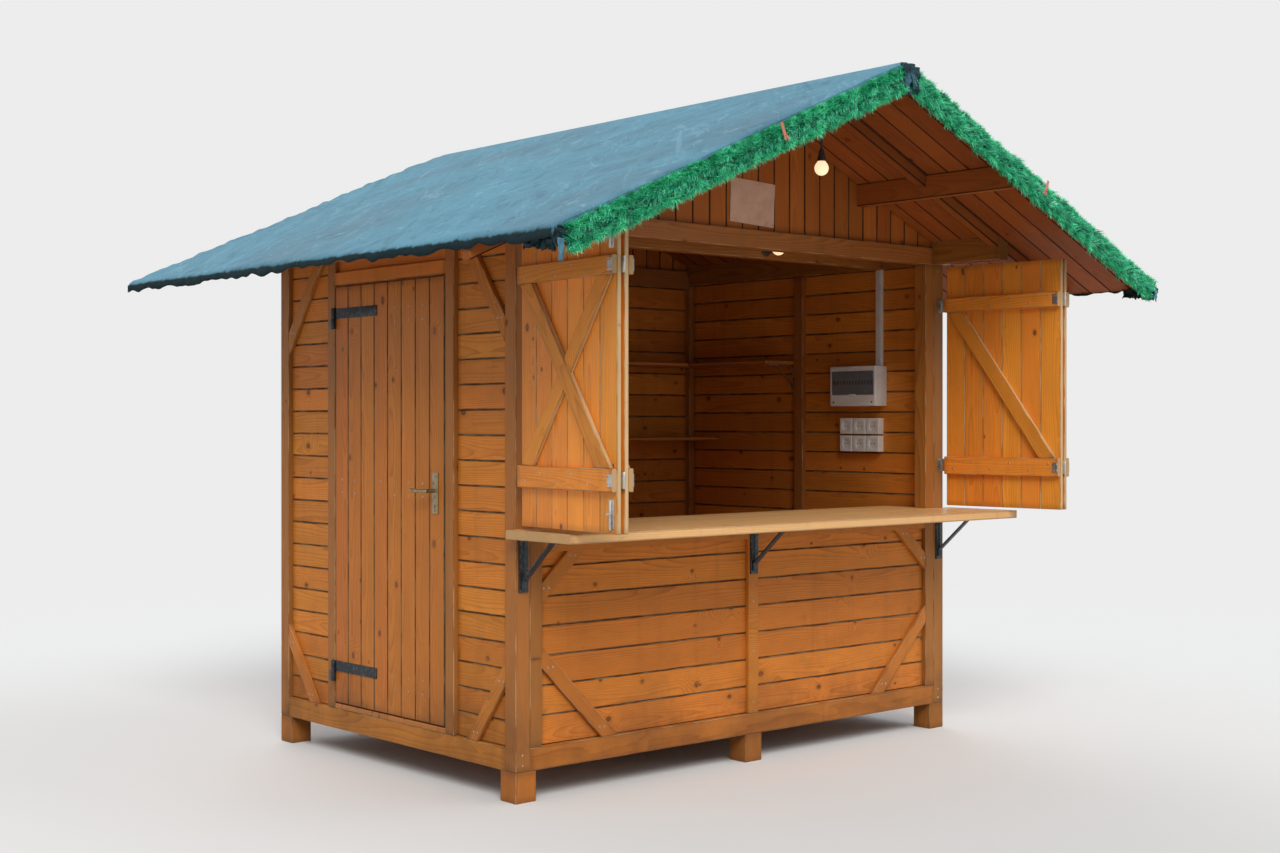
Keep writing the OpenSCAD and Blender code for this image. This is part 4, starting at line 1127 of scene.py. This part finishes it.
def add_sprigs(whole, layer, sprigs, side, start):
    """Spreads a layer's sprigs along one side, picked by tone into slanting bands."""
    for i in range(layer.sprigs):
        run = RUN_START + (SLOPE_L - RUN_SPARE) * (i + chance.random()) / layer.sprigs
        across = held(chance.gauss(layer.middle, layer.scatter), *ACROSS_LIMITS)
        out = chance.uniform(*SPRIG_OUT[layer.paint])
        turn = Matrix.Rotation(chance.uniform(-0.3, 0.3), 4, "Y") @ (
            Matrix.Rotation(chance.uniform(-0.5, 0.5), 4, "X"))
        band = noise.noise(Vector(((run + 0.5 * across) * BAND_SCALE, side * 7, 0)))
        stray = chance.uniform(-PICK_PLAY, PICK_PLAY)
        pick = round((TONES - 1) / 2 + BAND_CONTRAST * band + stray)
        sprig = sprigs[held(pick, 0, TONES - 1)].copy()
        sprig.transform(start @ at(run, -out, across) @ turn)
        whole.from_mesh(sprig)
        bpy.data.meshes.remove(sprig)


def garland_tie(place):
    """A band of tape over the garland and its two short tails, which lean apart."""
    band = chip((-0.008, -0.0470, -0.062), (0.008, -0.0450, -0.004), 0.0009, TAPE)
    parts = [placed(band, place)]
    for lean, length in ((0.6, 0.026), (-0.4, 0.020)):
        tail = chip((-0.005, -0.0490, -length), (0.005, -0.0472, 0), 0.0008, TAPE)
        parts.append(placed(tail, place @ at(0, 0, -0.052) @ Matrix.Rotation(lean, 4, "Y")))
    return parts


def build_garlands():
    """Each side: a core, needles in slanting light and dark bands, and one tie."""
    low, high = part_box("garland")
    drawn = [[make_sprig(layer, (i + 0.5) / TONES) for i in range(TONES)] for layer in LAYERS]
    for side, name, tie in ((-1, "left_garland", 0.42), (1, "right_garland", 0.50)):
        start = at(0, Y_VERGE, Z_RIDGE) @ Matrix.Scale(side, 4, (1, 0, 0)) @ (
            Matrix.Rotation(SLOPE, 4, "Y"))
        whole = bmesh.new()
        for layer, sprigs in zip(LAYERS, drawn):
            add_sprigs(whole, layer, sprigs, side, start)
        bmesh.ops.recalc_face_normals(whole, faces=whole.faces)
        # The needles stay inside the construction model's garland
        for vert in whole.verts:
            vert.co.y = held(vert.co.y, low.y + 0.0005, Y_VERGE - 0.0005)
            vert.co.x = side * held(side * vert.co.x, 0.012, high.x)
            vert.co.z = min(vert.co.z, felt_top(vert.co.x) - 0.002)
        # The core shows the needles' darkest deep green: painted shade inside the garland
        core = [block((0.030, -0.012, -0.102), (SLOPE_L - 0.035, -0.001, -0.022)),
                block((0.040, -0.024, -0.072), (SLOPE_L - 0.045, -0.012, -0.058))]
        ties = garland_tie(start @ at(tie * SLOPE_L, 0, 0))
        piece(name, [whole] + [placed(p, start) for p in core] + ties,
              [NEEDLES, LONG_NEEDLES, TIE_TAPE], ["garland"])
    for mesh in sum(drawn, []):
        bpy.data.meshes.remove(mesh)


build_garlands()


# Metal and plastic fittings
def softened(node, width, segments=2):
    """The node's own solids with their arrises taken off."""
    return [arris(solid, width, segments) for solid in solids_of(node)]


def build_brackets():
    """The three brackets, each with a rib up its leg and dark screws in leg and arm."""
    low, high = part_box("counter_brackets")
    rib = [(0, -0.155), (0.0028, -0.153), (0.0040, -0.148), (0.0040, -0.022),
           (0.0028, -0.017), (0, -0.015)]
    parts = softened("counter_brackets", 0.0009)
    for x in (low.x + BRACKET_W / 2, 0, high.x - BRACKET_W / 2):
        leg = at(x, Y_FRONT - BRACKET_T, Z_COUNTER_UNDER)
        parts.append(placed(lathe(rib, 12), leg))
        parts += screws_on(leg, [(u, z) for u in (-0.015, 0.015) for z in (-0.040, -0.125)])
        arm = leg @ at(0, BRACKET_T, -BRACKET_T) @ TO_FRONT
        parts += screws_on(arm, [(0, out) for out in (0.245, 0.275)])
    piece("bracket_bars", parts, [BRACKET_STEEL, RUST_AND_RECESS_SHADE],
          ["counter_brackets"], smooth=FITTING_SMOOTH)


build_brackets()
for name, node, width, material, slot, body in (
        ("shelf_bracket_bars", "shelf_brackets", 0.0006, ZINC_STEEL, "zinc_steel", "hut"),
        ("leaf_hinges", "shutter_hinges", 0.0006, ZINC_STEEL, "zinc_steel", "hut"),
        ("door_hinge_pins", "hinge_pins", 0.0008, BRACKET_STEEL, "bracket_steel", "hut"),
        ("door_hinge_straps", "door_hinges", 0.0008, BRACKET_STEEL, "bracket_steel", "door")):
    piece(name, softened(node, width), [material], [node], body, FITTING_SMOOTH)


def build_lever():
    """The dull brass lever and plate on both faces, with a keyhole under each lever painted as
    dark shade.
    """
    parts = softened("door_handle", 0.0012)
    handle = ON_DOOR @ at(DOOR_W - HANDLE_IN, 0, HANDLE_Z)
    for face in (handle, handle @ at(0, LEAF_T, 0) @ MIRRORED_Y):
        key = face @ at(0, -LEVER_PLATE_T, -0.060)
        parts.append(stud(key @ TO_FRONT, 1, 0.0005, 0.0005, 0.0032, 0.0036, 16))
        parts.append(placed(block((-0.0014, -0.0005, -0.0125), (0.0014, 0.001, 0)), key, 1))
        parts += screws_on(face, [(0, -0.083), (0, 0.063)], -LEVER_PLATE_T)
    piece("door_lever", parts, [DULL_BRASS, RUST_AND_RECESS_SHADE], ["door_handle"],
          "door", FITTING_SMOOTH)


build_lever()

# Lamps: turned profiles as radius and height, each from the place where it hangs
BULB_R, HOLDER_H, LAMP_STEM = 0.030, 0.050, 0.155
GLASS = [(0, -BULB_R), (0.0115, -0.0276), (0.0212, -0.0212), (0.0276, -0.0115), (BULB_R, 0),
         (0.0292, 0.0080), (0.0262, 0.0160), (0.0215, 0.0225), (0.0175, 0.0270),
         (0.0160, 0.0310), (0, 0.0310)]
HOLDER = [(0, 0), (0.0085, 0), (0.0100, -0.0020), (0.0112, -0.0100), (0.0150, -0.0260),
          (0.0196, -0.0440), (0.0200, -HOLDER_H), (0.0182, -HOLDER_H), (0.0165, -0.0440),
          (0, -0.0420)]
STEM = [(0, 0), (0.0050, 0), (0.0050, LAMP_STEM), (0, LAMP_STEM)]
ROSE = [(0, LAMP_STEM), (0.014, LAMP_STEM), (0.014, 0.149), (0.010, 0.143), (0, 0.143)]
WALL_BASE = [(0, 0), (0.0300, 0), (0.0300, -0.0050), (0.0265, -0.0080), (0, -0.0080)]
GABLE_LAMP_OUT = 0.400
TIE_LAMPS_X = (-0.700, 0.400)


def bulb_on(place):
    return [placed(lathe(GLASS), place @ at(0, 0, -HOLDER_H - BULB_R), 1),
            placed(lathe(HOLDER), place, 0)]


def build_lamps():
    """One lamp on a stem in front of the gable and two on the tie beam."""
    hung = at(0, Y_FRONT - GABLE_LAMP_OUT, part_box("lamps")[1].z - LAMP_STEM)
    parts = [placed(lathe(STEM, 12), hung), placed(lathe(ROSE), hung)] + bulb_on(hung)
    low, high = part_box("tie_beam")
    for x in TIE_LAMPS_X:
        base = at(x, low.y, (low.z + high.z) / 2) @ TO_REAR
        parts += [placed(lathe(WALL_BASE), base)] + bulb_on(base @ at(0, 0, -0.004))
    piece("lamp_bulbs_and_holders", parts, [DARK_PLASTIC_AND_HOLE_SHADE, LIT_BULB], ["lamps"],
          smooth=FITTING_SMOOTH)


build_lamps()

# Switch box, whose materials are these by number
WHITE, BLACK, RED, BLUE, WINDOW = range(5)
BOX_H, BOX_RIM, LID_SCREW_IN = 0.200, 0.012, 0.024
ROCKERS = (RED, BLACK, BLACK, BLUE, BLACK, BLACK, BLACK, RED, BLACK, BLACK, BLUE, BLACK, BLACK)


def build_switch_box():
    """The box with a rail of breakers behind its smoked window, a latch and two lid screws."""
    (face, left, foot), (_, right, _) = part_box("switch_box")
    parts = softened("switch_box", 0.004, 3)
    low, high = foot + 0.28 * BOX_H, foot + BOX_H - 0.024
    near, far = left + BOX_RIM, right - BOX_RIM
    step = (far - near - 0.012) / len(ROCKERS)
    for i, tint in enumerate(ROCKERS):
        y = near + 0.006 + i * step
        parts.append(chip((face + 0.006, y + 0.0006, low + 0.030),
                          (face + 0.0125, y + step - 0.0006, high - 0.030), 0.0008, WHITE))
        parts.append(chip((face + 0.0030, y + 0.005, low + 0.052),
                          (face + 0.0070, y + step - 0.005, low + 0.072), 0.0008, tint))
    parts.append(chip((face - 0.0005, near + 0.0006, low + 0.0006),
                      (face + 0.0020, far - 0.0006, high - 0.0006), 0.0006, WINDOW))
    middle = left + (right - left) / 2
    parts.append(chip((face - 0.0030, middle - 0.020, low - 0.008),
                      (face + 0.0010, middle + 0.020, low + 0.004), 0.0012, WHITE, 2))
    for y in (left + LID_SCREW_IN, right - LID_SCREW_IN):
        parts.append(stud(at(face, y, foot + 0.020) @ TO_LEFT, BLACK,
                          0.0012, 0.0010, 0.0045, 0.0050, 16))
    piece("switch_box_body", parts,
          [WHITE_PLASTIC, DARK_PLASTIC_AND_HOLE_SHADE, RED_PLASTIC, BLUE_PLASTIC, SMOKED_WINDOW],
          ["switch_box"], smooth=FITTING_SMOOTH)


# Sockets: three beside each other in two rows
SOCKET_SIZE, SOCKET_STEP, SOCKET_DEEP = 0.080, 0.088, 0.003
CLIP_OFF, CLIP_HALF_W, CLIP_HALF_H = 0.0185, 0.0022, 0.0035


def socket_face(x, y, z):
    """Two holes painted as dark shade, a screw between them and the earth clips above and below.
    """
    middle = at(x, y, z) @ TO_LEFT
    # The two holes are dark studs: painted shade
    parts = [stud(middle @ at(0, off, 0), 1, 0.0004, 0.0004, 0.0024, 0.0026)
             for off in (-0.0095, 0.0095)]
    parts.append(stud(middle, 2, 0.0007, 0.0006, 0.0020, 0.0028))
    for clip_z in (z - CLIP_OFF, z + CLIP_OFF):
        parts.append(chip((x - 0.0026, y - CLIP_HALF_W, clip_z - CLIP_HALF_H),
                          (x + 0.0004, y + CLIP_HALF_W, clip_z + CLIP_HALF_H), 0.0006, 2))
    return parts


def build_sockets():
    parts = softened("sockets", 0.003, 3)
    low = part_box("sockets")[0]
    for col in range(3):
        for row in range(2):
            parts += socket_face(low.x + SOCKET_DEEP, low.y + SOCKET_SIZE / 2 + col * SOCKET_STEP,
                                 low.z + SOCKET_SIZE / 2 + row * SOCKET_STEP)
    piece("socket_plates", parts, [WHITE_PLASTIC, DARK_PLASTIC_AND_HOLE_SHADE, ZINC_STEEL],
          ["sockets"], smooth=FITTING_SMOOTH)


build_switch_box()
build_sockets()

# Gable plate
SIGN_W, SIGN_H, SIGN_T = 0.270, 0.190, 0.0018
SIGN_X, SIGN_Z, SIGN_LEAN = 0.010, 2.440, math.radians(2.5)
TACK_IN = 0.010


def build_gable_plate():
    """The small blank plate on the front gable, a little bent and held by four tacks."""
    part = bmesh.new()
    bmesh.ops.create_grid(part, x_segments=12, y_segments=8, size=0.5)
    for vert in part.verts:
        u, v = vert.co.x, vert.co.y
        bend = -0.0006 - 0.0022 * (0.5 + crumple((u, v), 2.5, 4))
        vert.co = (u * SIGN_W, bend, v * SIGN_H)
    bmesh.ops.solidify(part, geom=part.faces[:], thickness=SIGN_T)
    bmesh.ops.recalc_face_normals(part, faces=part.faces)
    hung = at(SIGN_X, Y_FRONT + BATTEN_T - 0.0022, SIGN_Z) @ Matrix.Rotation(SIGN_LEAN, 4, "Y")
    parts = [placed(part, hung, 0)]
    for x in (-SIGN_W / 2 + TACK_IN, SIGN_W / 2 - TACK_IN):
        for z in (-SIGN_H / 2 + TACK_IN, SIGN_H / 2 - TACK_IN):
            tack = hung @ at(x, -0.0030, z) @ TO_FRONT
            parts.append(stud(tack, 1, 0.0022, 0.0016, 0.0026, 0.0036))
    piece("gable_plate", parts, [PALE_BOARD, ZINC_STEEL], smooth=FITTING_SMOOTH)


build_gable_plate()

# Screws in the walls
DOOR_HALF_W = 0.425
RAIL_H = 0.060
RAIL_SCREWS_X = (-1.1, -0.74, -0.37, 0, 0.37, 0.74, 1.1)
# Run and rise of the corner braces, and how far the one over the door stays off its jamb
WALL_BRACE, FRONT_LOW_BRACE, FRONT_TOP_BRACE = (0.260, 0.340), (0.390, 0.390), (0.220, 0.200)
DOOR_TOP_RISE, OFF_JAMB = 0.450, 0.015


def brace_ends(side, u, z, way, run, rise):
    """Two screws at each end of a brace that leaves a corner inward, up (1) or down (-1)."""
    slant = math.atan2(rise, run)
    points = []
    for share in (0.12, 0.88):
        middle_u = side * u - side * (run - BATTEN_W / 2 / math.sin(slant)) * share
        middle_z = z + way * (rise - BATTEN_W / 2 / math.cos(slant)) * (1 - share)
        points += [(middle_u + off, middle_z) for off in (-0.013, 0.013)]
    return points


def batten_screws(u, low, high, count):
    return [(u, low + 0.05 + (high - low - 0.1) * i / (count - 1)) for i in range(count)]


def build_screws():
    """Screws of battens, braces and rail, then those of the sills and posts at the ends."""
    inner_x = X_WALL - POST
    jamb_x = inner_x - BATTEN_W
    rail_z = Z_COUNTER_UNDER - RAIL_H
    beam_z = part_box("rear_wall")[1].z
    side_u = (Y_REAR - Y_FRONT) / 2 - POST
    door_run = side_u - (DOOR_HALF_W + BATTEN_W) - OFF_JAMB
    front = batten_screws(0, Z_SILL, rail_z, 4)
    front += [(x, rail_z + RAIL_H / 2) for x in RAIL_SCREWS_X]
    rear, sides = [], []
    for side in (-1, 1):
        front += brace_ends(side, jamb_x, rail_z, -1, *FRONT_TOP_BRACE)
        front += brace_ends(side, jamb_x, Z_SILL, 1, *FRONT_LOW_BRACE)
        rear += batten_screws(side * REAR_BATTEN_X, Z_SILL, beam_z, 6)
        rear += brace_ends(side, inner_x, beam_z, -1, *WALL_BRACE)
        rear += brace_ends(side, inner_x, Z_SILL, 1, *WALL_BRACE)
        sides += brace_ends(side, side_u, Z_PLATE, -1, door_run, DOOR_TOP_RISE)
        sides += brace_ends(side, side_u, Z_SILL, 1, *WALL_BRACE)
    ends = [(side * (X_WALL - POST / 2), z) for side in (-1, 1)
            for z in (Z_SILL - 0.065, Z_SILL - 0.025, Z_PLATE - 0.03)]
    parts = []
    for wall, spots in ((ON_FRONT, front), (ON_REAR, rear), (ON_LEFT, sides),
                        (ON_RIGHT, sides + batten_screws(0, Z_SILL, Z_PLATE, 6)),
                        (ON_FRONT, ends), (ON_REAR, ends)):
        parts += screws_on(wall, spots)
    piece("screw_heads", parts, [ZINC_STEEL, RUST_AND_RECESS_SHADE], smooth=40)


build_screws()

# Stage, light and camera
BACKDROP = (0.840, 0.845, 0.840)
THROWN_BACK = (0.480, 0.480, 0.475)
SKY, SKY_STRENGTH = (0.93, 0.96, 1.0), 0.46
EYE, AIM, LENS = Vector((-5.339, -6.047, 1.48)), Vector((-0.19, -0.19, 1.46)), 48.5
# Suns: where they stand, their strength, how many degrees wide they look, and their colour
SUNS = {
    "key": ((-5.8, -8.2, 9.0), 2.0, 30, (1.0, 0.98, 0.95)),
    "fill": ((7.0, -6.0, 6.5), 0.55, 50, (0.95, 0.97, 1.0)),
    "back": ((3.0, 9.0, 7.0), 0.80, 45, (0.97, 0.98, 1.0)),
}


def turn_to(thing, direction, axis):
    """Turns a lamp or camera so that its own axis points in that direction."""
    thing.rotation_mode = "QUATERNION"
    thing.rotation_quaternion = Vector(direction).to_track_quat(axis, "Y")


def seen_plainly(tree):
    """1 for what the camera, a gloss or a glass sees, 0 for what lights the hut."""
    rays = add(tree, "LightPath")
    return calc("MAXIMUM", rays["Is Camera Ray"], calc(
        "MAXIMUM", rays["Is Glossy Ray"], rays["Is Transmission Ray"]))


def pale_ground():
    """A pale floor that holds the hut's shadow and passes into the backdrop further out."""
    made, tree, shader = new_material("Pale ground", Roughness=0.9, Specular_IOR_Level=0.2)
    place = object_place(tree)
    shown = mix(cloudy(place, 0.8, 3.0), (0.750, 0.755, 0.750), (0.775, 0.780, 0.775))
    feed(shader, {"Base Color": mix(seen_plainly(tree), THROWN_BACK, shown)})
    away = add(tree, "VectorMath", {0: place}, operation="LENGTH")["Value"]
    surface = add(tree, "MixShader", {
        0: fade(away, 3.0, 8.0) * seen_plainly(tree),
        1: values_of(tree.nodes["Principled BSDF"])[0],
        2: add(tree, "Emission", {0: BACKDROP})[0]})[0]
    feed(tree.nodes["Material Output"].inputs, {0: surface})
    return made


def build_stage():
    part = bmesh.new()
    bmesh.ops.create_grid(part, x_segments=4, y_segments=4, size=60)
    mesh = mesh_of(part, "ground")
    mesh.materials.append(pale_ground())
    in_scene("ground", mesh)


def build_suns():
    for name, (toward, strength, spread, colour) in SUNS.items():
        lamp = bpy.data.lights.new(name, "SUN")
        lamp.energy, lamp.angle, lamp.color = strength, math.radians(spread), colour
        turn_to(in_scene(name, lamp), toward, "Z")


def build_world():
    """A soft sky that lights the hut; the camera sees the plain backdrop instead."""
    world = bpy.data.worlds.new("Pale sky")
    world.use_nodes = True
    bpy.context.scene.world = world
    tree = world.node_tree
    tree.nodes.clear()
    both = add(tree, "MixShader", {
        0: seen_plainly(tree), 1: add(tree, "Background", {0: SKY, 1: SKY_STRENGTH})[0],
        2: add(tree, "Background", {0: BACKDROP, 1: 1.0})[0]})[0]
    add(tree, "OutputWorld", {0: both})


def build_camera():
    data = bpy.data.cameras.new("Main view")
    data.lens = LENS
    camera = in_scene("Main view", data)
    camera.location = EYE
    turn_to(camera, AIM - EYE, "-Z")
    bpy.context.scene.camera = camera


build_stage()
build_world()
build_camera()
build_suns()
bpy.context.scene.view_settings.view_transform = "Standard"
